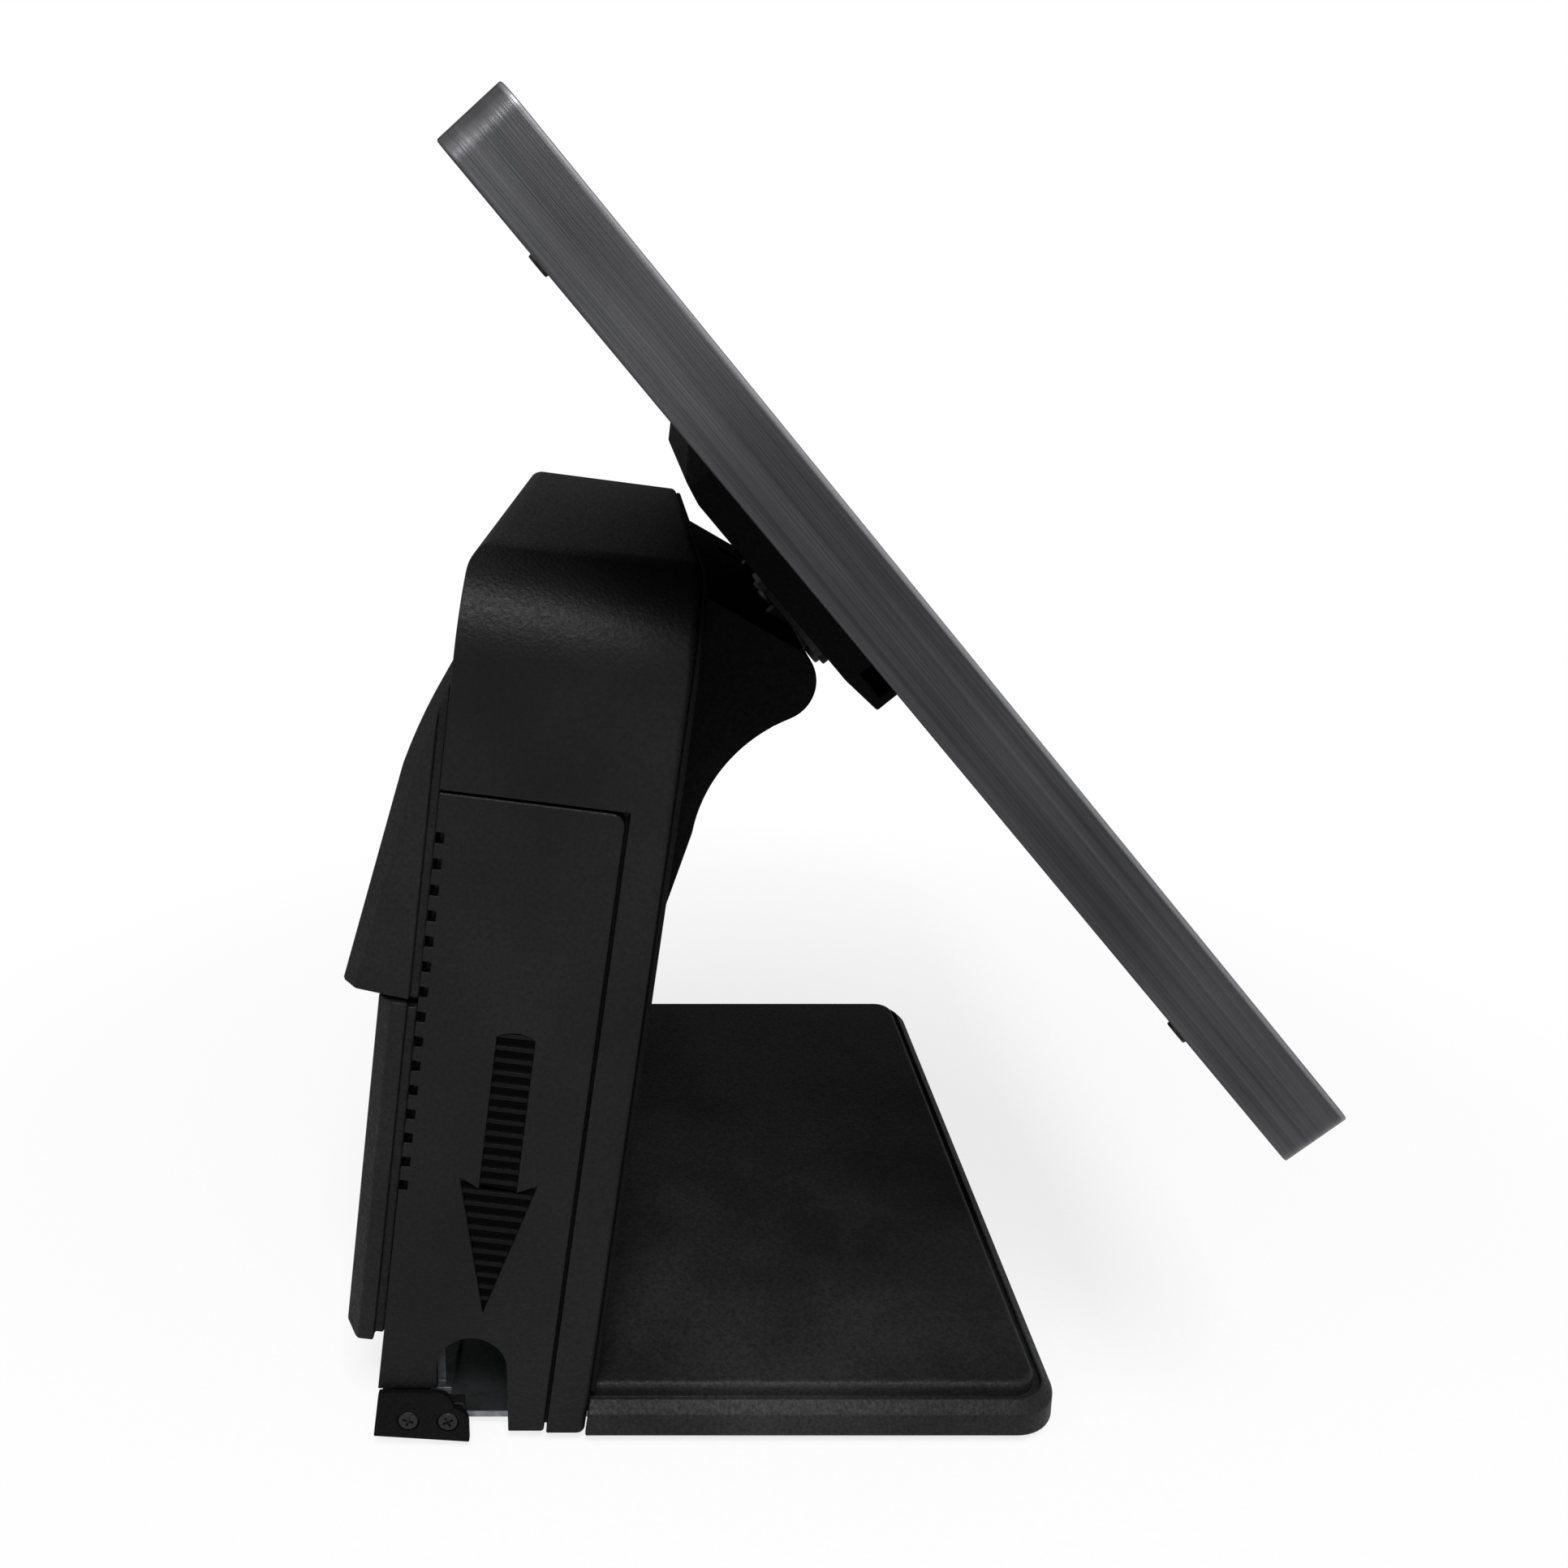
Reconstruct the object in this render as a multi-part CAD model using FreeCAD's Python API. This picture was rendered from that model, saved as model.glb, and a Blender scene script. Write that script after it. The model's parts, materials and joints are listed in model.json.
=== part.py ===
"""Countertop touchscreen terminal: a slim tilting monitor on a leaning tower with a flat base.

Row frame: +Z up, the screen faces -Y, +X is to the right seen from the front, and the origin
is at the bottom centre of the whole object's box. Millimetres throughout.

Three working frames are used before the last move into the row frame:
  base frame   Y = 0 at the tower's lower front line, Z = 0 at the underside of the base
  tower frame  the base frame leaned forward by LEAN: Y is depth to the rear, Z is height
  head frame   the upright monitor about its tilt axis, Y to the rear, Z up
"""
import FreeCAD
import Part
import math
import os

V = FreeCAD.Vector

# ---------------------------------------------------------------- driving dimensions
HEAD_WIDTH = 360.0            # monitor across the screen
HEAD_HEIGHT = 295.0           # monitor along the screen
HEAD_DEPTH = 17.0             # monitor, glass to rear cover
HEAD_CORNER = 7.0             # corner radius of the aluminium band
BAND_WALL = 2.0
GLASS_THICK = 3.0
LCD_WIDTH, LCD_HEIGHT, LCD_DEPTH = 326.0, 253.0, 7.0
REAR_COVER_WALL = 2.0
RECLINE = 40.4                # rest tilt of the screen back from upright, degrees
AXIS_TO_REAR = 24.4           # tilt axis behind the monitor's rear plane
AXIS_BELOW_CENTRE = 2.5       # tilt axis below the screen's centre

TILT_BOX_WIDTH = 176.0        # hinge housing on the monitor's back
TILT_BOX_DEPTH = 9.5
TILT_BOX_UP, TILT_BOX_DOWN = 66.0, 26.0
TILT_BOX_CORNER = 10.0        # chamfer on its two upper corners
TILT_BOX_WALL = 2.2
TILT_SLOT_HEIGHT, TILT_SLOT_DEPTH = 9.0, 5.0

TOWER_WIDTH = 250.0
TOWER_DEPTH = 60.5
TOWER_HEIGHT = 252.0
TOWER_WALL = 2.5
SHOULDER_RADIUS = 28.0        # rolled edge between the side and the top
TOP_EDGE_RADIUS = 7.0         # rear edge of the top
FRONT_EDGE_RADIUS = 2.4
REAR_LIP = 20.0               # part of the tower cover that turns down behind the top
LEAN = 7.4                    # forward lean, degrees

NECK_WIDTH = 184.0
NOSE_RADIUS = 11.4            # rounded end of the neck, about the tilt axis
AXIS_AHEAD, AXIS_UP = 25.3, 220.7   # tilt axis in the tower frame
NECK_TOP = 243.5              # where the neck's top meets the tower's front
NECK_ROOT = 130.0             # where its underside meets the tower's front
NECK_WALL = 2.5
FRONT_PROUD = 1.6             # front plate stands this far out of the tower's front edge
FRONT_INSET = 1.4             # and this far in from its sides
FRONT_THICK = 3.0

DOOR_SETBACK = 11.0           # side strip left in front of the door
DOOR_TOP = 189.0
DOOR_THICK = 2.4
DOOR_RECESS = 0.8             # door face below the tower's side
DOOR_GAP = 0.7
DOOR_TRAVEL = 4.0
DOOR_CORNER = 4.0
DOOR_FLOOR = 0.5              # door's lower edge above the base's underside
ARCH_AHEAD, ARCH_RADIUS, ARCH_TOP = 32.0, 10.0, 31.5
NOTCH_PITCH, NOTCH_COUNT, NOTCH_FIRST = 7.3, 15, 72.0
NOTCH_DEPTH, NOTCH_TALL = 2.4, 3.0

REAR_BOX_DEPTH = 11.2         # lower rear cover stands this far behind the tower
REAR_BOX_FLOOR, REAR_BOX_TOP = 22.0, 127.4
REAR_BOX_SLANT = 3.0          # small slant along its lower edge
HOOD_FLOOR, HOOD_TOP = 128.2, 223.0
HOOD_LIP = 21.2               # hood's lower lip behind the tower
HOOD_KNEE_DEPTH, HOOD_KNEE = 10.8, 192.7
REAR_SKIN = 2.4
SHADOW_DEPTH, SHADOW_WIDTH = 1.6, 2.6   # groove round the rear cover and the hood, by the tower
REAR_WIDTH = 246.0
REAR_CHAMFER = 4.0

BASE_FRONT = 138.0            # base in front of the tower's lower front line
BASE_WIDTH = 251.0
BASE_CORNER = 13.0
BASE_SIDE = 7.0               # upright side of the base's rim
RIM_CHAMFER = 3.0
RIM_FLAT = 0.6
GROOVE_WIDTH, GROOVE_DEPTH = 2.2, 1.6
PLATEAU_TOP = 13.0
PLATEAU_ROUND = 1.8
BASE_WALL = 2.4
BASE_STEEL = 2.0
FOOT_HEIGHT = 4.0
FOOT_RADIUS = 9.0

SHAFT_RADIUS = 4.0
RUN_CLEARANCE = 0.05          # radial, shaft in its arms
EYE_RADIUS = 8.0
ARM_AT, ARM_THICK = 48.0, 5.0
LEAF_THICK, LEAF_WIDTH, LEAF_UP, LEAF_DOWN = 3.0, 24.0, 18.0, 14.0
SUPPORT_THICK = 3.0
NECK_NOTCH = 10.0

CHASSIS_FRONT, CHASSIS_THICK = 6.0, 1.6
CHASSIS_WIDTH = 236.0
CHASSIS_TOP = 236.0
STANDOFF = 6.0
BOARD_THICK = 1.6
BAY_CEILING = 69.0            # sheet above the cable bay, in the tower frame
GAP = 0.3                     # clearance between parts that must not touch

SCREW_RADIUS, SCREW_HEAD, SCREW_HEAD_THICK = 1.5, 2.9, 1.6

# ---------------------------------------------------------------- shape helpers


def box(x0, x1, y0, y1, z0, z1):
    return Part.makeBox(x1 - x0, y1 - y0, z1 - z0, V(x0, y0, z0))


def rod(at, along, radius, length):
    """Cylinder that starts at a point and runs along a direction."""
    return Part.makeCylinder(radius, length, V(*at), V(*along))


def prism_x(outline, x0, x1):
    """Polygon of (y, z) points carried from x0 to x1."""
    points = [V(x0, y, z) for y, z in outline]
    face = Part.Face(Part.makePolygon(points + points[:1]))
    return face.extrude(V(x1 - x0, 0, 0))


def prism_y(outline, y0, y1):
    """Polygon of (x, z) points carried from y0 to y1."""
    points = [V(x, y0, z) for x, z in outline]
    face = Part.Face(Part.makePolygon(points + points[:1]))
    return face.extrude(V(0, y1 - y0, 0))


def edges_along(shape, direction, where=lambda centre: True):
    """Straight edges along a direction whose middle passes a test."""
    found = []
    for edge in shape.Edges:
        if len(edge.Vertexes) != 2:
            continue
        run = edge.Vertexes[1].Point - edge.Vertexes[0].Point
        if run.Length < 1e-6 or abs(run.normalize().dot(V(*direction))) < 0.9999:
            continue
        if where(edge.CenterOfMass):
            found.append(edge)
    return found


def rounded_box(x0, x1, y0, y1, z0, z1, radius, along=(0, 0, 1)):
    """Box whose four edges along one direction are rounded."""
    body = box(x0, x1, y0, y1, z0, z1)
    return body.makeFillet(radius, edges_along(body, along))


def joined(shapes):
    whole = shapes[0]
    for shape in shapes[1:]:
        whole = whole.fuse(shape)
    return whole.removeSplitter()


def cut(shape, tools):
    for tool in tools:
        shape = shape.cut(tool)
    return shape


def mirrored(shape):
    return shape.mirror(V(0, 0, 0), V(1, 0, 0))


def both_sides(shape):
    """A group of a piece and its mirror image."""
    return Part.makeCompound([shape, mirrored(shape)])


def group(shapes):
    return Part.makeCompound(shapes)


# ---------------------------------------------------------------- frames


def lean(shape):
    """Tower frame to base frame."""
    moved = shape.copy()
    moved.rotate(V(0, 0, 0), V(1, 0, 0), LEAN)
    return moved


def unlean(shape):
    """Base frame to tower frame."""
    moved = shape.copy()
    moved.rotate(V(0, 0, 0), V(1, 0, 0), -LEAN)
    return moved


def lean_point(y, z):
    a = math.radians(LEAN)
    return y * math.cos(a) - z * math.sin(a), y * math.sin(a) + z * math.cos(a)


AXIS_Y, AXIS_Z = lean_point(-AXIS_AHEAD, AXIS_UP)


def recline(shape):
    """Head frame to base frame."""
    moved = shape.copy()
    moved.rotate(V(0, 0, 0), V(1, 0, 0), -RECLINE)
    moved.translate(V(0, AXIS_Y, AXIS_Z))
    return moved


def recline_point(y, z):
    a = math.radians(-RECLINE)
    return (AXIS_Y + y * math.cos(a) - z * math.sin(a),
            AXIS_Z + y * math.sin(a) + z * math.cos(a))


HEAD_REAR = -AXIS_TO_REAR
HEAD_FRONT = HEAD_REAR - HEAD_DEPTH
HEAD_TOP = AXIS_BELOW_CENTRE + HEAD_HEIGHT / 2
HEAD_BOTTOM = AXIS_BELOW_CENTRE - HEAD_HEIGHT / 2

front_y = recline_point(HEAD_FRONT, HEAD_BOTTOM)[0]
rear_y = lean_point(TOWER_DEPTH + REAR_BOX_DEPTH, REAR_BOX_FLOOR + REAR_BOX_SLANT)[0]
ROW_SHIFT = V(0, -(front_y + rear_y) / 2, FOOT_HEIGHT)

NODES = {}


def keep(name, shape):
    """Store one node, moved from the base frame into the row frame."""
    moved = shape.copy()
    moved.translate(ROW_SHIFT)
    NODES[name] = moved


# ---------------------------------------------------------------- monitor (head frame)
HALF_W = HEAD_WIDTH / 2
INNER_W = HALF_W - BAND_WALL
INNER_TOP, INNER_BOTTOM = HEAD_TOP - BAND_WALL, HEAD_BOTTOM + BAND_WALL
GLASS_BACK = HEAD_FRONT + GLASS_THICK
COVER_FRONT = HEAD_REAR - REAR_COVER_WALL
CENTRE_Z = AXIS_BELOW_CENTRE
BUTTON_AT = 120.0
BUTTON_RADIUS, BUTTON_TRAVEL, BUTTON_PROUD = 2.2, 1.2, 1.6
BUTTON_FLANGE = 0.9
BUTTON_Y = GLASS_BACK + LCD_DEPTH / 2
LED_AT = 106.0


def slab(inset, y0, y1, radius):
    """A plate of the monitor's outline, set in by a distance, between two depths."""
    return rounded_box(-HALF_W + inset, HALF_W - inset, y0, y1,
                       HEAD_BOTTOM + inset, HEAD_TOP - inset, radius, (0, 1, 0))


def monitor_frame():
    """Brushed aluminium band round the monitor, with holes for the button and the lamp."""
    band = slab(0, HEAD_FRONT, HEAD_REAR, HEAD_CORNER)
    band = band.cut(slab(BAND_WALL, HEAD_FRONT - 1, HEAD_REAR + 1, HEAD_CORNER - BAND_WALL))
    button_hole = rod((BUTTON_AT, BUTTON_Y, HEAD_BOTTOM - 1), (0, 0, 1), BUTTON_RADIUS + GAP, 5)
    lamp_hole = rod((LED_AT, BUTTON_Y, HEAD_BOTTOM - 1), (0, 0, 1), 1.2, 5)
    return cut(band, [button_hole, lamp_hole])


def touch_glass():
    return slab(BAND_WALL, HEAD_FRONT, GLASS_BACK, HEAD_CORNER - BAND_WALL)


def lcd_panel():
    return box(-LCD_WIDTH / 2, LCD_WIDTH / 2, GLASS_BACK, GLASS_BACK + LCD_DEPTH,
               CENTRE_Z - LCD_HEIGHT / 2, CENTRE_Z + LCD_HEIGHT / 2)


def lcd_bracket():
    """Pressed steel ring that carries the panel and reaches the band on every side."""
    back = GLASS_BACK + LCD_DEPTH
    ring = slab(BAND_WALL, back, back + 1.2, HEAD_CORNER - BAND_WALL)
    window = box(-LCD_WIDTH / 2 + 22, LCD_WIDTH / 2 - 22, back - 1, back + 3,
                 CENTRE_Z - LCD_HEIGHT / 2 + 22, CENTRE_Z + LCD_HEIGHT / 2 - 22)
    return ring.cut(window)


def monitor_rear_cover():
    """Flat moulded back; two posts inside reach the bracket."""
    plate = slab(BAND_WALL, COVER_FRONT, HEAD_REAR, HEAD_CORNER - BAND_WALL)
    back = GLASS_BACK + LCD_DEPTH + 1.2
    posts = [rod((x, back, CENTRE_Z + z), (0, 1, 0), 4.0, COVER_FRONT - back + 0.5)
             for x in (-155, 155) for z in (-118, 118)]
    slots = [box(x - 1.2, x + 1.2, COVER_FRONT - 1, HEAD_REAR + 1, 104, 128)
             for x in range(-96, 97, 8)]
    return cut(joined([plate] + posts), slots)


def touch_controller_board():
    back = GLASS_BACK + LCD_DEPTH
    board = box(-60, -10, back, back + 1.2, -70, -44)
    chip = box(-42, -30, back + 1.2, back + 2.2, -63, -51)
    return board.fuse(chip)


def lcd_driver_board():
    back = GLASS_BACK + LCD_DEPTH
    board = box(10, 90, back, back + 1.2, -76, -44)
    chips = [box(22, 36, back + 1.2, back + 2.2, -66, -52), box(60, 72, back + 1.2, back + 2.2, -72, -60)]
    return joined([board] + chips)


def monitor_screws():
    """Eight small screws that hold the rear cover, heads in its face."""
    spots = [(x, CENTRE_Z + z) for x in (-155, 155) for z in (-118, 118)]
    heads = [rod((x, HEAD_REAR, z), (0, 1, 0), SCREW_HEAD, 1.0) for x, z in spots]
    return group(heads)


def tilt_outline(inset):
    """Side outline of the hinge housing: a chamfered top end and a lip at the bottom."""
    face = HEAD_REAR + TILT_BOX_DEPTH - inset
    return [(HEAD_REAR, TILT_BOX_UP - inset), (face - 1.5, TILT_BOX_UP - 8 - inset * 0.6),
            (face, TILT_BOX_UP - 15 - inset * 0.4), (face, -13.5), (face - 1.4, -TILT_BOX_DOWN + inset),
            (HEAD_REAR, -TILT_BOX_DOWN + inset)]


def tilt_plan(inset):
    """Rear view of the hinge housing with its two chamfered upper corners."""
    half, low, high = TILT_BOX_WIDTH / 2 - inset, -TILT_BOX_DOWN - 1, TILT_BOX_UP - inset
    corner = TILT_BOX_CORNER - inset * 0.4
    return prism_y([(-half, low), (half, low), (half, high - corner), (half - corner, high),
                    (corner - half, high), (-half, high - corner)], HEAD_REAR, 0)


def tilt_housing():
    """Moulded hinge housing on the monitor's back, with a cable slot at its lower end."""
    half = TILT_BOX_WIDTH / 2
    body = prism_x(tilt_outline(0), -half, half).common(tilt_plan(0))
    cavity = prism_x(tilt_outline(TILT_BOX_WALL), -half, half).common(tilt_plan(TILT_BOX_WALL))
    cavity = cavity.common(box(-half, half, HEAD_REAR - 1, 0, -TILT_BOX_DOWN + 14, TILT_BOX_UP))
    slot = box(-half - 1, half + 1, HEAD_REAR, HEAD_REAR + TILT_SLOT_DEPTH,
               -TILT_BOX_DOWN + 2.5, -TILT_BOX_DOWN + 2.5 + TILT_SLOT_HEIGHT)
    return cut(body, [cavity, slot])


def tilt_plate():
    """Steel plate inside the housing, bolted to the monitor's frame."""
    y0 = HEAD_REAR + TILT_BOX_DEPTH - TILT_BOX_WALL
    plate = box(-70, 70, y0 - 2.5, y0, -12, 50)
    feet = [box(x - 8, x + 8, HEAD_REAR, y0 - 2.5, 34, 50) for x in (-60, 60)]
    return joined([plate] + feet)


def tilt_arm():
    """Right-hand hinge arm: a leaf on the housing, a web and an eye round the shaft."""
    face = HEAD_REAR + TILT_BOX_DEPTH
    x0, x1 = ARM_AT - ARM_THICK / 2, ARM_AT + ARM_THICK / 2
    leaf = box(ARM_AT - LEAF_WIDTH / 2, ARM_AT + LEAF_WIDTH / 2, face, face + LEAF_THICK,
               -LEAF_DOWN, LEAF_UP)
    leaf = leaf.makeFillet(4.0, edges_along(leaf, (0, 1, 0)))
    web = box(x0, x1, face, 0, -EYE_RADIUS, EYE_RADIUS)
    eye = rod((x0, 0, 0), (1, 0, 0), EYE_RADIUS, ARM_THICK)
    bore = rod((x0 - 1, 0, 0), (1, 0, 0), SHAFT_RADIUS + RUN_CLEARANCE, ARM_THICK + 2)
    return joined([leaf, web, eye]).cut(bore)


def tilt_arm_screws():
    face = HEAD_REAR + TILT_BOX_DEPTH + LEAF_THICK
    heads = [rod((ARM_AT + x, face, z), (0, 1, 0), SCREW_HEAD, SCREW_HEAD_THICK)
             for x in (-7.5, 7.5) for z in (-9.5, 13.0)]
    return both_sides(group(heads))


def power_button():
    cap = rod((BUTTON_AT, BUTTON_Y, HEAD_BOTTOM - BUTTON_PROUD), (0, 0, 1), BUTTON_RADIUS, 6.0)
    flange = rod((BUTTON_AT, BUTTON_Y, INNER_BOTTOM + GAP / 3), (0, 0, 1), BUTTON_RADIUS + BUTTON_FLANGE, 1.2)
    return cap.fuse(flange).removeSplitter()


def button_board():
    """Small board behind the button and the lamp."""
    top = HEAD_BOTTOM - BUTTON_PROUD + 6.0 + BUTTON_TRAVEL + GAP
    board = box(LED_AT - 8, BUTTON_AT + 9, GLASS_BACK, GLASS_BACK + LCD_DEPTH, top, top + 1.2)
    return board


def power_lamp():
    top = HEAD_BOTTOM - BUTTON_PROUD + 6.0 + BUTTON_TRAVEL + GAP
    return rod((LED_AT, BUTTON_Y, HEAD_BOTTOM), (0, 0, 1), 1.2, top - HEAD_BOTTOM)


keep("monitor_frame", recline(monitor_frame()))
keep("touch_glass", recline(touch_glass()))
keep("lcd_panel", recline(lcd_panel()))
keep("lcd_bracket", recline(lcd_bracket()))
keep("monitor_rear_cover", recline(monitor_rear_cover()))
keep("touch_controller_board", recline(touch_controller_board()))
keep("lcd_driver_board", recline(lcd_driver_board()))
keep("monitor_screws", recline(monitor_screws()))
keep("tilt_housing", recline(tilt_housing()))
keep("tilt_plate", recline(tilt_plate()))
keep("tilt_arm_right", recline(tilt_arm()))
keep("tilt_arm_left", recline(mirrored(tilt_arm())))
keep("tilt_arm_screws", recline(tilt_arm_screws()))
keep("power_button", recline(power_button()))
keep("button_board", recline(button_board()))
keep("power_lamp", recline(power_lamp()))

# ---------------------------------------------------------------- tilt hinge (tower frame)
AXIS_V, AXIS_W = -AXIS_AHEAD, AXIS_UP
NUT_AT = 60.0
SUPPORTS = (ARM_AT - ARM_THICK / 2 - SUPPORT_THICK - 1.0, ARM_AT + ARM_THICK / 2 + 1.0)


def tilt_shaft():
    return rod((-NUT_AT - 6, AXIS_V, AXIS_W), (1, 0, 0), SHAFT_RADIUS, 2 * (NUT_AT + 6))


def hinge_support():
    """Right-hand pair of steel cheeks, tied by a flange that bolts to the chassis."""
    cheeks = []
    for x in SUPPORTS:
        outline = [(CHASSIS_FRONT, AXIS_W - 34), (CHASSIS_FRONT, AXIS_W + 12),
                   (AXIS_V, AXIS_W + EYE_RADIUS - 0.6), (AXIS_V, AXIS_W - EYE_RADIUS + 0.6)]
        plate = prism_x(outline, x, x + SUPPORT_THICK)
        plate = plate.fuse(rod((x, AXIS_V, AXIS_W), (1, 0, 0), EYE_RADIUS - 0.6, SUPPORT_THICK))
        cheeks.append(plate)
    flange = box(SUPPORTS[0], SUPPORTS[1] + SUPPORT_THICK, CHASSIS_FRONT - 2.5, CHASSIS_FRONT,
                 AXIS_W - 34, AXIS_W + 6)
    bore = rod((0, AXIS_V, AXIS_W), (1, 0, 0), SHAFT_RADIUS, 90)
    return joined(cheeks + [flange]).cut(bore)


def friction_washers():
    """Spring washers pressed against the outer cheeks."""
    x = SUPPORTS[1] + SUPPORT_THICK
    washer = rod((x, AXIS_V, AXIS_W), (1, 0, 0), 6.6, NUT_AT - x)
    return both_sides(washer.cut(rod((x - 1, AXIS_V, AXIS_W), (1, 0, 0), SHAFT_RADIUS, 20)))


def hinge_nuts():
    """Hexagon nuts that set the hinge's friction."""
    flat = 6.5 / math.cos(math.radians(30))
    outline = [(AXIS_V + flat * math.cos(math.radians(60 * i)),
                AXIS_W + flat * math.sin(math.radians(60 * i))) for i in range(6)]
    nut = prism_x(outline, NUT_AT, NUT_AT + 5.0)
    return both_sides(nut.cut(rod((NUT_AT - 1, AXIS_V, AXIS_W), (1, 0, 0), SHAFT_RADIUS, 9)))


keep("tilt_shaft", lean(tilt_shaft()))
keep("hinge_support_right", lean(hinge_support()))
keep("hinge_support_left", lean(mirrored(hinge_support())))
keep("friction_washers", lean(friction_washers()))
keep("hinge_nuts", lean(hinge_nuts()))

# ---------------------------------------------------------------- tower covers (tower frame)
HALF_T = TOWER_WIDTH / 2
WALL_X = HALF_T - TOWER_WALL
DOOR_FACE = HALF_T - DOOR_RECESS
DOOR_BACK = DOOR_FACE - DOOR_THICK
BAY_WALL_OUT = DOOR_BACK - DOOR_GAP
BAY_WALL_IN = BAY_WALL_OUT - 2.0
PANEL_FRONT = TOWER_DEPTH - TOWER_WALL
SKIRT = -12.0                 # tower pieces start here and are trimmed level with the base


def tower_block(inset, y0, y1):
    """The tower's outer form set in by a wall: rolled shoulders and a round rear top edge."""
    x, top = HALF_T - inset, TOWER_HEIGHT - inset
    rolled = box(-x, x, y0, y1, SKIRT, top)
    rolled = rolled.makeFillet(SHOULDER_RADIUS - inset,
                               edges_along(rolled, (0, 1, 0), lambda c: c.z > top - 1))
    backed = box(-x - 5, x + 5, y0 - 5, y1, SKIRT - 5, top)
    backed = backed.makeFillet(TOP_EDGE_RADIUS - inset * 0.9,
                               edges_along(backed, (1, 0, 0), lambda c: c.z > top - 1 and c.y > y1 - 1))
    return rolled.common(backed)


def trim_level(shape, height):
    """Cut a leaned shape off level at a height above the base's underside."""
    return shape.cut(box(-200, 200, -200, 200, -80, height))


def arch(inset, x0, x1, floor=-10.0):
    """Cable arch, upright in the base frame: a slot with a round top."""
    radius = ARCH_RADIUS - inset
    top = ARCH_TOP - ARCH_RADIUS
    pillar = box(x0, x1, ARCH_AHEAD - radius, ARCH_AHEAD + radius, floor, top)
    return pillar.fuse(rod((x0, ARCH_AHEAD, top), (1, 0, 0), radius, x1 - x0))


def hook_spots():
    return [(y, z) for y in (22.0, 48.0) for z in (58.0, 160.0)]


HOOK_TALL, HOOK_WIDE, HOOK_TOE = 3.0, 6.0, 3.0


def tower_cover():
    """Sides, shoulders and top in one moulding, with a recess on each side for its door."""
    shell = tower_block(0, 0, TOWER_DEPTH)
    shell = shell.makeFillet(FRONT_EDGE_RADIUS, edges_along(shell, (0, 0, 1), lambda c: c.y < 1))
    shell = shell.cut(tower_block(TOWER_WALL, -1, PANEL_FRONT))
    shell = shell.cut(box(-WALL_X, WALL_X, PANEL_FRONT - 1, TOWER_DEPTH + 1, SKIRT - 1,
                          TOWER_HEIGHT - REAR_LIP))
    recess = box(BAY_WALL_OUT, HALF_T + 1, DOOR_SETBACK, TOWER_DEPTH + 1, SKIRT - 1, DOOR_TOP)
    shell = cut(shell, [recess, mirrored(recess)])
    bay = box(BAY_WALL_IN, BAY_WALL_OUT, DOOR_SETBACK - 3, TOWER_DEPTH - 1, SKIRT, DOOR_TOP + 3)
    front_rib = box(BAY_WALL_IN, WALL_X + 0.5, DOOR_SETBACK - 3, DOOR_SETBACK, SKIRT, DOOR_TOP + 3)
    top_rib = box(BAY_WALL_IN, WALL_X + 0.5, DOOR_SETBACK - 3, PANEL_FRONT, DOOR_TOP, DOOR_TOP + 3)
    bay = joined([bay, front_rib, top_rib])
    for y, z in hook_spots():
        bay = bay.cut(box(BAY_WALL_IN - 1, BAY_WALL_OUT + 1, y - GAP, y + HOOK_WIDE + GAP,
                          z - DOOR_TRAVEL - 0.5, z + HOOK_TALL + 0.5))
    shell = joined([shell, bay, mirrored(bay)])
    shell = lean(shell)
    window = arch(-2.5, BAY_WALL_IN - 1, BAY_WALL_OUT + 1)
    shell = cut(shell, [window, mirrored(window)])
    shell = trim_level(shell, DOOR_FLOOR)
    foot = box(BAY_WALL_OUT - 0.5, PLATE_BACK, PLATE_FROM + 1.5, PLATE_TO - 3, 1.0, PLATE_TOP - 5.0)
    return joined([shell, foot, mirrored(foot)])


PLATE_BACK = HALF_T - DOOR_RECESS + GAP     # inner face of the corner plates
PLATE_THICK = 2.2
PLATE_FLOOR = 0.8                           # left under its screw heads
PLATE_FROM, PLATE_TO = 33.0, 60.5           # corner plate along the depth, base frame
PLATE_TOP = 15.2
PLATE_DIP = 1.0                             # slope of its lower edge about the base's underside
PLATE_NOSE, CURL = 5.4, 4.6                 # start and radius of the curl beside the arch
ARROW_MIDDLE, ARROW_TIP, ARROW_NECK, ARROW_BARB, ARROW_END = 33.3, 36.0, 75.0, 78.0, 121.5
ARROW_SHAFT, ARROW_HEAD, ARROW_DEPTH = 5.2, 10.8, 0.9
RIB_PITCH, RIB_THICK, RIB_HEIGHT = 3.7, 1.4, 0.5


def arrow(depth):
    """Downward grip arrow, cut into the door's face to a depth."""
    m = ARROW_MIDDLE
    outline = [(m, ARROW_TIP), (m + ARROW_HEAD, ARROW_BARB), (m + ARROW_SHAFT, ARROW_NECK),
               (m + ARROW_SHAFT, ARROW_END), (m - ARROW_SHAFT, ARROW_END),
               (m - ARROW_SHAFT, ARROW_NECK), (m - ARROW_HEAD, ARROW_BARB)]
    body = prism_x(outline, DOOR_FACE - depth, DOOR_FACE + 1)
    crown = rod((DOOR_FACE - depth, m, ARROW_END - 8.5), (1, 0, 0), 10.0, depth + 1)
    crown = crown.common(box(0, 200, m - ARROW_SHAFT, m + ARROW_SHAFT, ARROW_END - 2, ARROW_END + 9))
    return joined([body, crown])


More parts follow.
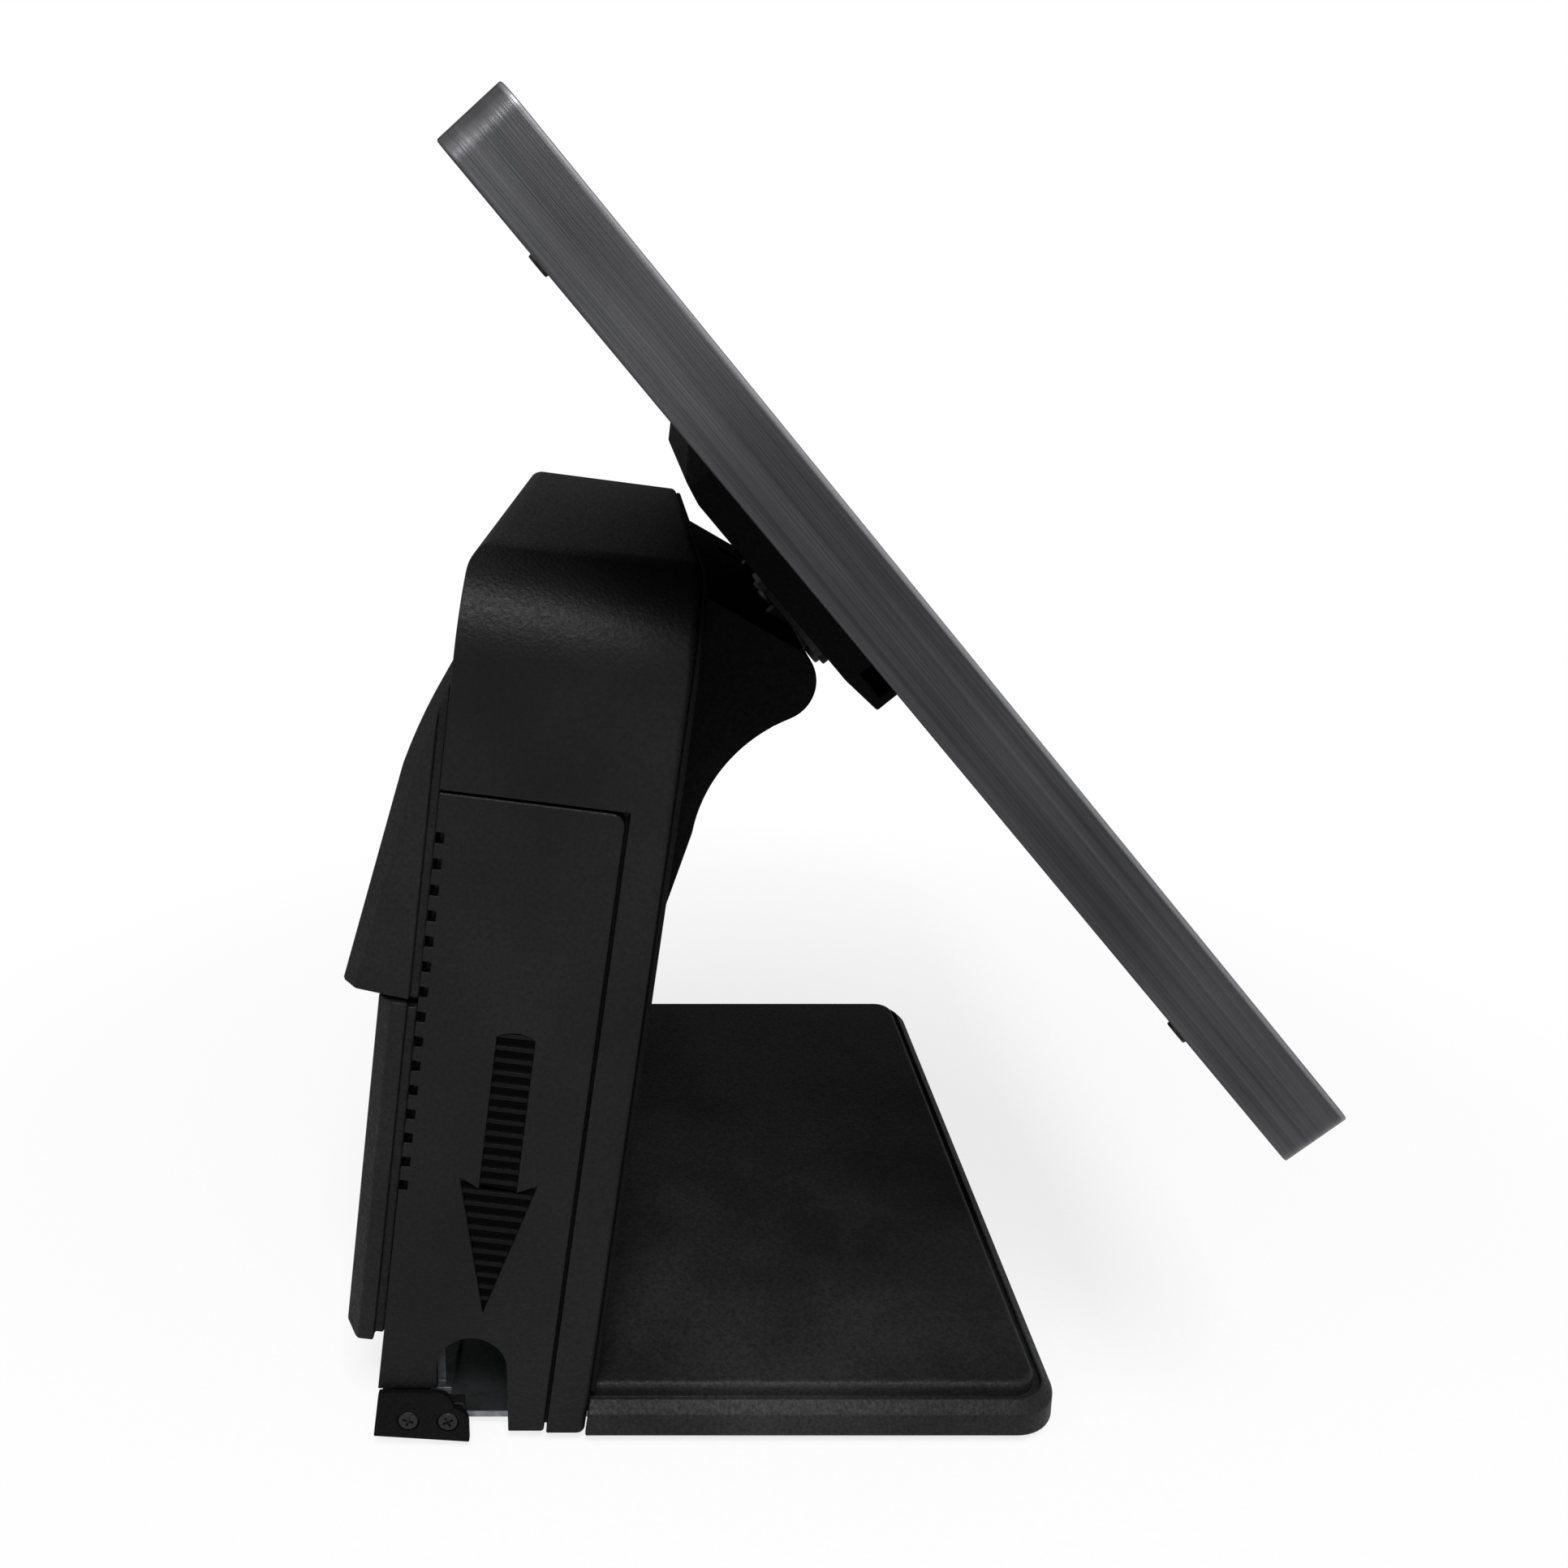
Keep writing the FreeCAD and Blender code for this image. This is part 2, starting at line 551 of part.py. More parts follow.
def side_door():
    """Right-hand door: slides down by its travel to free four hooks."""
    door = box(DOOR_BACK, DOOR_FACE, DOOR_SETBACK + DOOR_GAP, TOWER_DEPTH, SKIRT, DOOR_TOP - DOOR_GAP)
    door = door.makeFillet(DOOR_CORNER, edges_along(door, (1, 0, 0),
                                                    lambda c: c.z > 100 and c.y < 30))
    rim = [e for e in door.Edges if e.CenterOfMass.x > DOOR_FACE - 0.01
           and (e.CenterOfMass.z > 100 or e.CenterOfMass.y < 20) and e.CenterOfMass.y < 59
           and e.CenterOfMass.z > 0]
    door = door.makeChamfer(0.6, rim)
    pocket = arrow(ARROW_DEPTH)
    door = door.cut(pocket)
    ribs = []
    level = ARROW_TIP + RIB_PITCH
    while level < ARROW_END:
        bar = box(DOOR_FACE - ARROW_DEPTH - 0.1, DOOR_FACE - ARROW_DEPTH + RIB_HEIGHT,
                  ARROW_MIDDLE - 14, ARROW_MIDDLE + 14, level, level + RIB_THICK)
        ribs.append(bar.common(pocket))
        level += RIB_PITCH
    door = joined([door] + ribs)
    for i in range(NOTCH_COUNT):
        low = NOTCH_FIRST + i * NOTCH_PITCH
        door = door.cut(box(DOOR_BACK - 1, DOOR_FACE + 1, TOWER_DEPTH - NOTCH_DEPTH, TOWER_DEPTH + 1,
                            low, low + NOTCH_TALL))
    for y, z in hook_spots():
        stem = box(BAY_WALL_IN - GAP - 1.6, DOOR_BACK + 0.2, y, y + HOOK_WIDE, z, z + HOOK_TALL)
        toe = box(BAY_WALL_IN - GAP - 1.6, BAY_WALL_IN - GAP, y, y + HOOK_WIDE, z,
                  z + HOOK_TALL + HOOK_TOE)
        door = joined([door, stem, toe])
    door = lean(door)
    corner = box(DOOR_BACK - 1, DOOR_FACE + 1, ARCH_AHEAD, 90, -40, PLATE_TOP - GAP)
    door = cut(door, [arch(0, DOOR_BACK - 1, DOOR_FACE + 1), corner])
    return trim_level(door, DOOR_FLOOR)


def corner_plate():
    """Right-hand plate over the door's lower rear corner, with a curl beside the arch."""
    a = math.tan(math.radians(LEAN))
    steps = [math.radians(18 * i) for i in range(6)]
    out = [(PLATE_FROM + CURL * (1 - math.sin(t)) * 0.9, PLATE_NOSE + CURL * math.cos(t)) for t in steps[::-1]]
    back = [(PLATE_FROM + 1.9 * CURL - CURL * math.cos(t), PLATE_TOP - CURL * 1.1 + CURL * math.sin(t) * 1.1)
            for t in steps]
    outline = ([(PLATE_FROM, -PLATE_DIP)] + out + back
               + [(PLATE_TO - PLATE_TOP * a, PLATE_TOP), (PLATE_TO, PLATE_DIP)])
    plate = prism_x(outline, PLATE_BACK, PLATE_BACK + PLATE_THICK)
    return cut(plate, [rod((PLATE_BACK + PLATE_FLOOR, y, z), (1, 0, 0), SCREW_HEAD + GAP, PLATE_THICK)
                       for y, z in SCREW_SPOTS])


SCREW_SPOTS = ((PLATE_FROM + 6.0, 5.6), (PLATE_FROM + 17.4, 5.9))


def corner_screws():
    """Two flush screws a side, each with a round socket."""
    x = PLATE_BACK + PLATE_FLOOR
    heads = [rod((x, y, z), (1, 0, 0), SCREW_HEAD, PLATE_THICK - PLATE_FLOOR - 0.2) for y, z in SCREW_SPOTS]
    sockets = [rod((x + 0.4, y, z), (1, 0, 0), 1.3, PLATE_THICK) for y, z in SCREW_SPOTS]
    heads = [head.cut(socket) for head, socket in zip(heads, sockets)]
    return both_sides(group(heads))


NECK_NORMAL = math.atan2(NECK_TOP - AXIS_W, -AXIS_V) + math.acos(
    NOSE_RADIUS / math.hypot(NECK_TOP - AXIS_W, AXIS_V))
NOSE_END = math.radians(240)
UNDER_MID, UNDER_LOW = (-16.5, 197.5), (-8.6, 174.0)


def neck(inset, x, behind):
    """The neck's form set in by a wall, as wide as twice x, closed at a depth behind the front."""
    radius = NOSE_RADIUS - inset

    def nose(angle):
        return V(-x, AXIS_V + radius * math.cos(angle), AXIS_W + radius * math.sin(angle))

    start = nose(NECK_NORMAL)
    run = V(0, math.sin(NECK_NORMAL), -math.cos(NECK_NORMAL))
    top = start + run * ((behind - start.y) / run.y)
    middle = V(-x, UNDER_MID[0] + inset * 0.854, UNDER_MID[1] + inset * 0.52)
    low = V(-x, UNDER_LOW[0] + inset * 0.99, UNDER_LOW[1] + inset * 0.14)
    down = V(0, -UNDER_LOW[0], NECK_ROOT - UNDER_LOW[1])
    root = low + down * ((behind - low.y) / down.y)
    end = nose(NOSE_END)
    edges = [Part.LineSegment(top, start).toShape(),
             Part.Arc(start, nose((NECK_NORMAL + NOSE_END) / 2), end).toShape(),
             Part.Arc(end, middle, low).toShape(),
             Part.LineSegment(low, root).toShape(),
             Part.LineSegment(root, top).toShape()]
    return Part.Face(Part.Wire(edges)).extrude(V(2 * x, 0, 0))


def front_cover():
    """Front plate of the tower, just proud of its sides, with a window behind the neck."""
    x, top = HALF_T - FRONT_INSET, TOWER_HEIGHT - FRONT_INSET
    face = box(-x, x, -FRONT_PROUD, 0, SKIRT, top)
    face = face.makeFillet(SHOULDER_RADIUS - FRONT_INSET, edges_along(face, (0, 1, 0), lambda c: c.z > top - 1))
    x, top = WALL_X - GAP, TOWER_HEIGHT - TOWER_WALL - GAP
    body = box(-x, x, -FRONT_PROUD, FRONT_THICK - FRONT_PROUD, SKIRT, top)
    body = body.makeFillet(SHOULDER_RADIUS - TOWER_WALL - GAP,
                           edges_along(body, (0, 1, 0), lambda c: c.z > top - 1))
    plate = joined([face, body]).cut(neck(NECK_WALL, NECK_WIDTH / 2 - NECK_WALL, FRONT_THICK))
    return trim_level(lean(plate), PLATEAU_TOP + GAP)


def neck_cover():
    """Hollow neck on the front plate, open behind, with notches for the hinge arms."""
    half = NECK_WIDTH / 2
    shell = neck(0, half, -FRONT_PROUD).cut(neck(NECK_WALL, half - NECK_WALL, 1 - FRONT_PROUD))
    notches = [box(side * ARM_AT - NECK_NOTCH / 2, side * ARM_AT + NECK_NOTCH / 2, AXIS_V - 30,
                   AXIS_V + 9, AXIS_W - 14, AXIS_W + 30) for side in (-1, 1)]
    return lean(cut(shell, notches))


keep("tower_cover", tower_cover())
keep("side_door_right", side_door())
keep("side_door_left", mirrored(side_door()))
keep("corner_plate_right", corner_plate())
keep("corner_plate_left", mirrored(corner_plate()))
keep("corner_screws", corner_screws())
keep("front_cover", front_cover())
keep("neck_cover", neck_cover())

# ---------------------------------------------------------------- rear of the tower
VENT_PITCH, VENT_TALL = 7.3, 3.2


def rear_panel():
    """Louvred sheet that closes the tower's back above the cable bay."""
    x = BAY_WALL_IN - GAP
    panel = box(-x, x, PANEL_FRONT, TOWER_DEPTH, BAY_CEILING + 8, TOWER_HEIGHT - REAR_LIP - GAP)
    vents = []
    level = 140.0
    while level < 212:
        vents += [box(side - 34, side + 34, PANEL_FRONT - 1, TOWER_DEPTH + 1, level, level + VENT_TALL)
                  for side in (-74, 0, 74)]
        level += VENT_PITCH
    return cut(panel, vents)


def rear_cover():
    """Lower rear cover over the ports: pulls straight off to the rear."""
    x, y0, y1 = REAR_WIDTH / 2, TOWER_DEPTH + GAP, TOWER_DEPTH + REAR_BOX_DEPTH

    def form(inset, front):
        depth = y1 - inset
        low, high = REAR_BOX_FLOOR + inset, REAR_BOX_TOP - inset
        side = prism_x([(front, low), (depth - REAR_BOX_SLANT, low),
                        (depth, low + REAR_BOX_SLANT), (depth, high), (front, high)],
                       -x + inset, x - inset)
        return side.makeChamfer(REAR_CHAMFER - inset * 0.6,
                                edges_along(side, (0, 0, 1), lambda c: c.y > depth - 1))

    shell = form(0, y0).cut(form(REAR_SKIN, y0 - 1))
    low, high = REAR_BOX_FLOOR, REAR_BOX_TOP
    ring = box(-x - 1, x + 1, y0 - 1, y0 + SHADOW_WIDTH, low - 1, high + 1)
    ring = ring.cut(box(-x + SHADOW_DEPTH, x - SHADOW_DEPTH, y0 - 2, y0 + 9, low + SHADOW_DEPTH,
                        high - SHADOW_DEPTH))
    shell = shell.cut(ring)
    ridges = [box(-60, 60, y1 - 0.2, y1 + 0.5, level, level + 1.6) for level in (108, 112, 116)]
    return joined([shell] + ridges)


WINDOW_LOW, WINDOW_HIGH, WINDOW_HALF, WINDOW_THICK = 143.0, 182.0, 96.0, 2.0
HOOD_TILT = math.degrees(math.atan((HOOD_LIP - HOOD_KNEE_DEPTH) / (HOOD_KNEE - HOOD_FLOOR - 2)))


def hood_outline(inset, front):
    """Half-open side outline of the customer display hood as a wire of lines and one arc."""
    back = TOWER_DEPTH
    lip = V(0, back + HOOD_LIP - inset, HOOD_FLOOR + HOOD_LIP * 0.1 + inset)
    knee = V(0, back + HOOD_KNEE_DEPTH - inset, HOOD_KNEE)
    bend = V(0, back + HOOD_KNEE_DEPTH * 0.62 - inset * 0.8, HOOD_KNEE + 14 - inset * 0.6)
    crest = V(0, front, HOOD_TOP - inset * 1.6)
    heel = V(0, front, HOOD_FLOOR + inset)
    edges = [Part.LineSegment(heel, lip).toShape(), Part.LineSegment(lip, knee).toShape(),
             Part.Arc(knee, bend, crest).toShape(), Part.LineSegment(crest, heel).toShape()]
    return Part.Face(Part.Wire(edges))


def window_block(grow, outer, depth):
    """Block square to the hood's sloping face, for its window and what lies behind it."""
    block = box(-WINDOW_HALF - grow, WINDOW_HALF + grow, outer - depth, outer,
                WINDOW_LOW - grow - HOOD_KNEE, WINDOW_HIGH + grow - HOOD_KNEE)
    block.rotate(V(0, 0, 0), V(1, 0, 0), HOOD_TILT)
    block.translate(V(0, TOWER_DEPTH + HOOD_KNEE_DEPTH, HOOD_KNEE))
    return block


def display_hood():
    """Hood with the rear customer display, fixed over the top of the tower's back."""
    x = REAR_WIDTH / 2
    outer = hood_outline(0, TOWER_DEPTH).extrude(V(2 * x, 0, 0))
    outer.translate(V(-x, 0, 0))
    sides = [e for e in outer.Edges if abs(abs(e.CenterOfMass.x) - x) < 0.01
             and e.CenterOfMass.y > TOWER_DEPTH + HOOD_KNEE_DEPTH / 3 and e.CenterOfMass.z > HOOD_FLOOR + 3]
    outer = outer.makeChamfer(REAR_CHAMFER, sides)
    inner = hood_outline(REAR_SKIN, TOWER_DEPTH - 1).extrude(V(2 * (x - REAR_SKIN), 0, 0))
    inner.translate(V(-x + REAR_SKIN, 0, 0))
    shell = outer.cut(inner)
    groove = box(x - SHADOW_DEPTH, x + 1, TOWER_DEPTH - 1, TOWER_DEPTH + SHADOW_WIDTH, HOOD_FLOOR - 1, HOOD_TOP + 1)
    return cut(shell, [groove, mirrored(groove), window_block(GAP, 5, 12)])


def display_window():
    """Smoked window, flush in the hood's sloping face."""
    return window_block(0, -0.3, WINDOW_THICK)


def customer_display():
    """Character display module behind the window, with its glass and its board."""
    return window_block(-4, -0.3 - WINDOW_THICK, 3.2)


def display_board():
    return window_block(-2, -0.3 - WINDOW_THICK - 3.2, 1.6)


keep("rear_panel", lean(rear_panel()))
keep("rear_cover", lean(rear_cover()))
keep("display_hood", lean(display_hood()))
keep("display_window", lean(display_window()))
keep("customer_display", lean(customer_display()))
keep("display_board", lean(display_board()))

# ---------------------------------------------------------------- inside the tower (tower frame)
CHASSIS_BACK = CHASSIS_FRONT + CHASSIS_THICK
BOARD_FRONT = CHASSIS_BACK + STANDOFF
BOARD_BACK = BOARD_FRONT + BOARD_THICK
BOARD_HALF, BOARD_LOW, BOARD_HIGH = 85.0, 84.0, 204.0
BAY_SHEET = 1.2
COOLER_X, COOLER_W, COOLER_HALF, COOLER_DEEP = -40.0, 150.0, 30.0, 18.0
FAN_DEEP, FAN_BORE, BLADE_RADIUS = 10.0, 27.5, 26.0
SSD_X, SSD_FRONT = 50.0, 34.0
BASE_INNER = HALF_T - TOWER_WALL - 4.5


def chassis():
    """Bent steel frame: an upright sheet on a foot that bolts to the base."""
    half = CHASSIS_WIDTH / 2
    sheet = box(-half, half, CHASSIS_FRONT, CHASSIS_BACK, SKIRT, CHASSIS_TOP)
    sheet = sheet.makeFillet(14, edges_along(sheet, (0, 1, 0), lambda c: c.z > 100))
    holes = [rod((x, 0, 226), (0, 1, 0), 9, 20) for x in (-88, 0, 88)]
    sheet = lean(cut(sheet, holes))
    sheet = trim_level(sheet, BASE_STEEL)
    foot_y = CHASSIS_FRONT + 1.0
    foot = box(-half + 4, half - 4, foot_y, foot_y + 16, BASE_STEEL, BASE_STEEL + CHASSIS_THICK)
    return joined([sheet, foot])


def bay_sheet():
    """Sheet above the cable bay that the ports look through."""
    half = CHASSIS_WIDTH / 2
    sheet = box(-half, half, CHASSIS_BACK, PANEL_FRONT - GAP, BAY_CEILING, BAY_CEILING + BAY_SHEET)
    turn_up = box(-half, half, PANEL_FRONT - BAY_SHEET, PANEL_FRONT, BAY_CEILING, BAY_CEILING + 22)
    holes = [box(x0 - GAP, x1 + GAP, BOARD_BACK - GAP, BOARD_BACK + deep + GAP,
                 BAY_CEILING - 1, BAY_CEILING + 3) for x0, x1, deep in PORTS.values()]
    return cut(joined([sheet, turn_up]), holes)


PORTS = {"usb_ports": (-78.0, -46.0, 15.0), "lan_port": (-38.0, -22.0, 13.5),
         "serial_ports": (-12.0, 54.0, 12.5), "drawer_port": (60.0, 72.0, 13.0),
         "dc_inlet": (76.0, 85.0, 11.0)}
PORT_LOW, PORT_HIGH = BAY_CEILING - 1.0, BOARD_LOW + 6.0


def port_body(name):
    x0, x1, deep = PORTS[name]
    return box(x0, x1, BOARD_BACK, BOARD_BACK + deep, PORT_LOW, PORT_HIGH)


def usb_ports():
    """Four sockets in two stacks, each with its tongue."""
    x0, x1, deep = PORTS["usb_ports"]
    body = port_body("usb_ports")
    for x in (x0 + 1.0, x0 + 17.0):
        for y in (BOARD_BACK + 1.0, BOARD_BACK + 8.2):
            body = body.cut(box(x, x + 13.2, y, y + 5.4, PORT_LOW - 1, PORT_LOW + 10))
            body = body.fuse(box(x + 1.2, x + 12.0, y + 2.9, y + 4.6, PORT_LOW + 0.8, PORT_LOW + 10.2))
    return body.removeSplitter()


def lan_port():
    x0, x1, deep = PORTS["lan_port"]
    hollow = box(x0 + 2.1, x1 - 2.1, BOARD_BACK + 2.5, BOARD_BACK + 10.5, PORT_LOW - 1, PORT_LOW + 12)
    return port_body("lan_port").cut(hollow)


def drawer_port():
    x0, x1, deep = PORTS["drawer_port"]
    hollow = box(x0 + 1.1, x1 - 1.1, BOARD_BACK + 2.5, BOARD_BACK + 9.5, PORT_LOW - 1, PORT_LOW + 11)
    return port_body("drawer_port").cut(hollow)


def serial_ports():
    """Two nine-pin plugs, each a shell round its pins."""
    x0, x1, deep = PORTS["serial_ports"]
    body = port_body("serial_ports")
    middle = BOARD_BACK + deep / 2
    for x in (x0 + 16.5, x1 - 16.5):
        shell = box(x - 9.2, x + 9.2, middle - 4.6, middle + 4.6, PORT_LOW - 5.0, PORT_LOW + 1)
        well = box(x - 8.6, x + 8.6, middle - 4.0, middle + 4.0, PORT_LOW - 6.0, PORT_LOW - 0.2)
        pins = [rod((x + dx, middle + dy, PORT_LOW - 4.4), (0, 0, 1), 0.5, 4.6)
                for dy, count in ((1.4, 5), (-1.4, 4))
                for dx in [2.77 * (i - (count - 1) / 2) for i in range(count)]]
        nuts = [rod((x + dx, middle, PORT_LOW - 4.0), (0, 0, 1), 2.4, 4.0) for dx in (-12.5, 12.5)]
        body = joined([body, shell.cut(well)] + pins + nuts)
    return body


def dc_inlet():
    x0, x1, deep = PORTS["dc_inlet"]
    middle = ((x0 + x1) / 2, BOARD_BACK + deep / 2)
    hole = rod((middle[0], middle[1], PORT_LOW - 1), (0, 0, 1), 3.2, 11)
    pin = rod((middle[0], middle[1], PORT_LOW + 0.6), (0, 0, 1), 1.0, 10)
    return port_body("dc_inlet").cut(hole).fuse(pin).removeSplitter()


def motherboard():
    return box(-BOARD_HALF, BOARD_HALF, BOARD_FRONT, BOARD_BACK, BOARD_LOW, BOARD_HIGH)


def standoffs():
    return group([rod((x, CHASSIS_BACK, z), (0, 1, 0), 2.8, STANDOFF)
                  for x in (-BOARD_HALF + 5, BOARD_HALF - 5) for z in (BOARD_LOW + 12, BOARD_HIGH - 5)])


def board_screws():
    return group([rod((x, BOARD_BACK, z), (0, 1, 0), SCREW_HEAD, SCREW_HEAD_THICK)
                  for x in (-BOARD_HALF + 5, BOARD_HALF - 5) for z in (BOARD_LOW + 12, BOARD_HIGH - 5)])


def heatsink():
    base = box(COOLER_X - COOLER_HALF, COOLER_X + COOLER_HALF, BOARD_BACK, BOARD_BACK + 4,
               COOLER_W - COOLER_HALF, COOLER_W + COOLER_HALF)
    fins = []
    x = COOLER_X - COOLER_HALF
    while x < COOLER_X + COOLER_HALF - 1:
        fins.append(box(x, x + 1.2, BOARD_BACK + 3.5, BOARD_BACK + COOLER_DEEP,
                        COOLER_W - COOLER_HALF, COOLER_W + COOLER_HALF))
        x += 4.2
    return joined([base] + fins)


FAN_FRONT = BOARD_BACK + COOLER_DEEP
FAN_BACK = FAN_FRONT + FAN_DEEP


def fan_frame():
    """Square frame with a round tunnel; three spokes carry the motor's post."""
    body = rounded_box(COOLER_X - COOLER_HALF, COOLER_X + COOLER_HALF, FAN_FRONT, FAN_BACK,
                       COOLER_W - COOLER_HALF, COOLER_W + COOLER_HALF, 3, (0, 1, 0))
    body = body.cut(rod((COOLER_X, FAN_FRONT - 1, COOLER_W), (0, 1, 0), FAN_BORE, FAN_DEEP + 2))
    spokes = []
    for i in range(3):
        arm = box(COOLER_X - 1.2, COOLER_X + 1.2, FAN_FRONT, FAN_FRONT + 1.2, COOLER_W,
                  COOLER_W + FAN_BORE + 1)
        arm.rotate(V(COOLER_X, 0, COOLER_W), V(0, 1, 0), 120 * i + 30)
        spokes.append(arm)
    plate = rod((COOLER_X, FAN_FRONT, COOLER_W), (0, 1, 0), 10, 1.2)
    post = rod((COOLER_X, FAN_FRONT, COOLER_W), (0, 1, 0), 1.5, 6.0)
    return joined([body, plate, post] + spokes)


def fan_rotor():
    """Hub with seven flat blades, running on the frame's post."""
    front = FAN_FRONT + 1.2 + GAP
    hub = rod((COOLER_X, front, COOLER_W), (0, 1, 0), 11, FAN_DEEP - 1.2 - 2 * GAP)
    blades = []
    for i in range(7):
        blade = box(COOLER_X - 5, COOLER_X + 5, front + 3.0, front + 4.4, COOLER_W + 9,
                    COOLER_W + BLADE_RADIUS)
        blade.rotate(V(COOLER_X, front + 3.7, COOLER_W), V(0, 0, 1), 28)
        blade.rotate(V(COOLER_X, 0, COOLER_W), V(0, 1, 0), 360 * i / 7)
        blades.append(blade)
    rotor = joined([hub] + blades)
    return rotor.cut(rod((COOLER_X, front - 1, COOLER_W), (0, 1, 0), 1.5 + RUN_CLEARANCE, 5.9))


def memory_module():
    return box(20, 78, BOARD_BACK + 3.0, BOARD_BACK + 4.2, 150, 178)


def memory_socket():
    body = box(16, 82, BOARD_BACK, BOARD_BACK + 6.0, 143, 151)
    clips = [box(x, x + 3.5, BOARD_BACK, BOARD_BACK + 6.0, 150, 170) for x in (16, 78.5)]
    slot = box(20, 78, BOARD_BACK + 3.0, BOARD_BACK + 4.2, 149.999, 160)
    return joined([body] + clips).cut(slot)


def ssd_bracket():
    """Folded sheet on four legs that carries the solid-state drive."""
    sheet = box(SSD_X - 38, SSD_X + 38, SSD_FRONT - 1.2, SSD_FRONT, 96, 200)
    legs = [rod((x, BOARD_BACK, z), (0, 1, 0), 2.5, SSD_FRONT - 1.2 - BOARD_BACK)
            for x in (SSD_X - 34, SSD_X + 31) for z in (106, 191)]
    window = box(SSD_X - 20, SSD_X + 20, 0, 60, 112, 184)
    return joined([sheet] + legs).cut(window)


def ssd_drive():
    return rounded_box(SSD_X - 35, SSD_X + 35, SSD_FRONT, SSD_FRONT + 7.0, 98, 198, 2, (0, 1, 0))


def speaker():
    """Round speaker on the rear panel."""
    basket = rod((-92, PANEL_FRONT - 4, 214), (0, 1, 0), 16, 4)
    magnet = rod((-92, PANEL_FRONT - 12, 214), (0, 1, 0), 9, 9)
    return joined([basket, magnet])


def cable_hooks():
    """Two bent steel cable hooks on the base, just inside the arches."""
    x = 88.0
    strip = box(x, x + 22, 40, 52, BASE_STEEL, BASE_STEEL + 1.2)
    post = box(x + 18, x + 19.2, 42, 50, BASE_STEEL, BASE_STEEL + 14)
    lip = box(x + 10, x + 19.2, 42, 50, BASE_STEEL + 12.8, BASE_STEEL + 14)
    return both_sides(joined([strip, post, lip]))


keep("chassis", chassis())
keep("bay_sheet", lean(bay_sheet()))
keep("motherboard", lean(motherboard()))
keep("standoffs", lean(standoffs()))
keep("board_screws", lean(board_screws()))
keep("usb_ports", lean(usb_ports()))
keep("lan_port", lean(lan_port()))
keep("serial_ports", lean(serial_ports()))
keep("drawer_port", lean(drawer_port()))
keep("dc_inlet", lean(dc_inlet()))
keep("heatsink", lean(heatsink()))
keep("fan_frame", lean(fan_frame()))
keep("fan_rotor", lean(fan_rotor()))
keep("memory_socket", lean(memory_socket()))
keep("memory_module", lean(memory_module()))
keep("ssd_bracket", lean(ssd_bracket()))
keep("ssd_drive", lean(ssd_drive()))
keep("speaker", lean(speaker()))
keep("cable_hooks", cable_hooks())

# ---------------------------------------------------------------- base (base frame)
BASE_BACK = 3.0               # the base cover reaches this far under the tower
STEEL_BACK = 57.0


def base_layer(inset, low, high, back=BASE_BACK):
    """One level of the base: straight at the back, round at its two front corners."""
    half = BASE_WIDTH / 2 - inset
    layer = box(-half, half, -BASE_FRONT + inset, back, low, high)
    return layer.makeFillet(BASE_CORNER - inset, edges_along(
        layer, (0, 0, 1), lambda c: c.y < 0))


def base_cover():
    """Flat moulded cover: upright side, chamfered rim, groove and raised plateau."""
    rim_top = BASE_SIDE + RIM_CHAMFER
    outer = base_layer(0, 0, rim_top)
    outer = outer.makeChamfer(RIM_CHAMFER, [e for e in outer.Edges if e.CenterOfMass.z > rim_top - 0.1
                                            and e.CenterOfMass.y < BASE_BACK - 0.1])
    rim_in = RIM_CHAMFER + RIM_FLAT
    groove = base_layer(rim_in, rim_top - GROOVE_DEPTH, rim_top + 1, BASE_BACK + 1)
    outer = outer.cut(groove)
    plateau = base_layer(rim_in + GROOVE_WIDTH, rim_top - GROOVE_DEPTH - 1, PLATEAU_TOP)
    plateau = plateau.makeFillet(PLATEAU_ROUND, [e for e in plateau.Edges
                                                 if e.CenterOfMass.z > PLATEAU_TOP - 0.1
                                                 and e.CenterOfMass.y < BASE_BACK - 0.1])
    body = joined([outer, plateau])
    low_cavity = base_layer(BASE_WALL, -1, rim_top - GROOVE_DEPTH - BASE_WALL, BASE_BACK + 1)
    high_cavity = base_layer(rim_in + GROOVE_WIDTH + BASE_WALL, -1, PLATEAU_TOP - BASE_WALL,
                             BASE_BACK + 1)
    body = cut(body, [low_cavity, high_cavity])
    a = math.tan(math.radians(LEAN))
    side = prism_x([(-GAP + a, -1), (-GAP - (PLATEAU_TOP + 1) * a, PLATEAU_TOP + 1),
                    (BASE_BACK + 9, PLATEAU_TOP + 1), (BASE_BACK + 9, -1)], BAY_WALL_IN - GAP, HALF_T + 1)
    return cut(body, [side, mirrored(side)])


def base_plate():
    """Steel plate that closes the base and weighs it down."""
    front = base_layer(BASE_WALL + GAP, 0, BASE_STEEL, -1.0)
    back = box(-BASE_INNER, BASE_INNER, -2.0, STEEL_BACK, 0, BASE_STEEL)
    ballast = box(-80, 80, -108, -14, BASE_STEEL, BASE_STEEL + 4)
    return joined([front, back, ballast])


FOOT_SPOTS = [(x, y) for x in (-100, 100) for y in (-112, 42)]


def rubber_feet():
    return group([rod((x, y, -FOOT_HEIGHT), (0, 0, 1), FOOT_RADIUS, FOOT_HEIGHT)
                  for x, y in FOOT_SPOTS])


def base_screws():
    spots = [(x, y) for x in (-108, 0, 108) for y in (-60, 20)]
    return group([rod((x, y, -SCREW_HEAD_THICK), (0, 0, 1), SCREW_HEAD, SCREW_HEAD_THICK)
                  for x, y in spots])


def chassis_screws():
    z = BASE_STEEL + CHASSIS_THICK
    return group([rod((x, CHASSIS_FRONT + 12, z), (0, 0, 1), SCREW_HEAD, SCREW_HEAD_THICK)
                  for x in (-96, -32, 32, 96)])


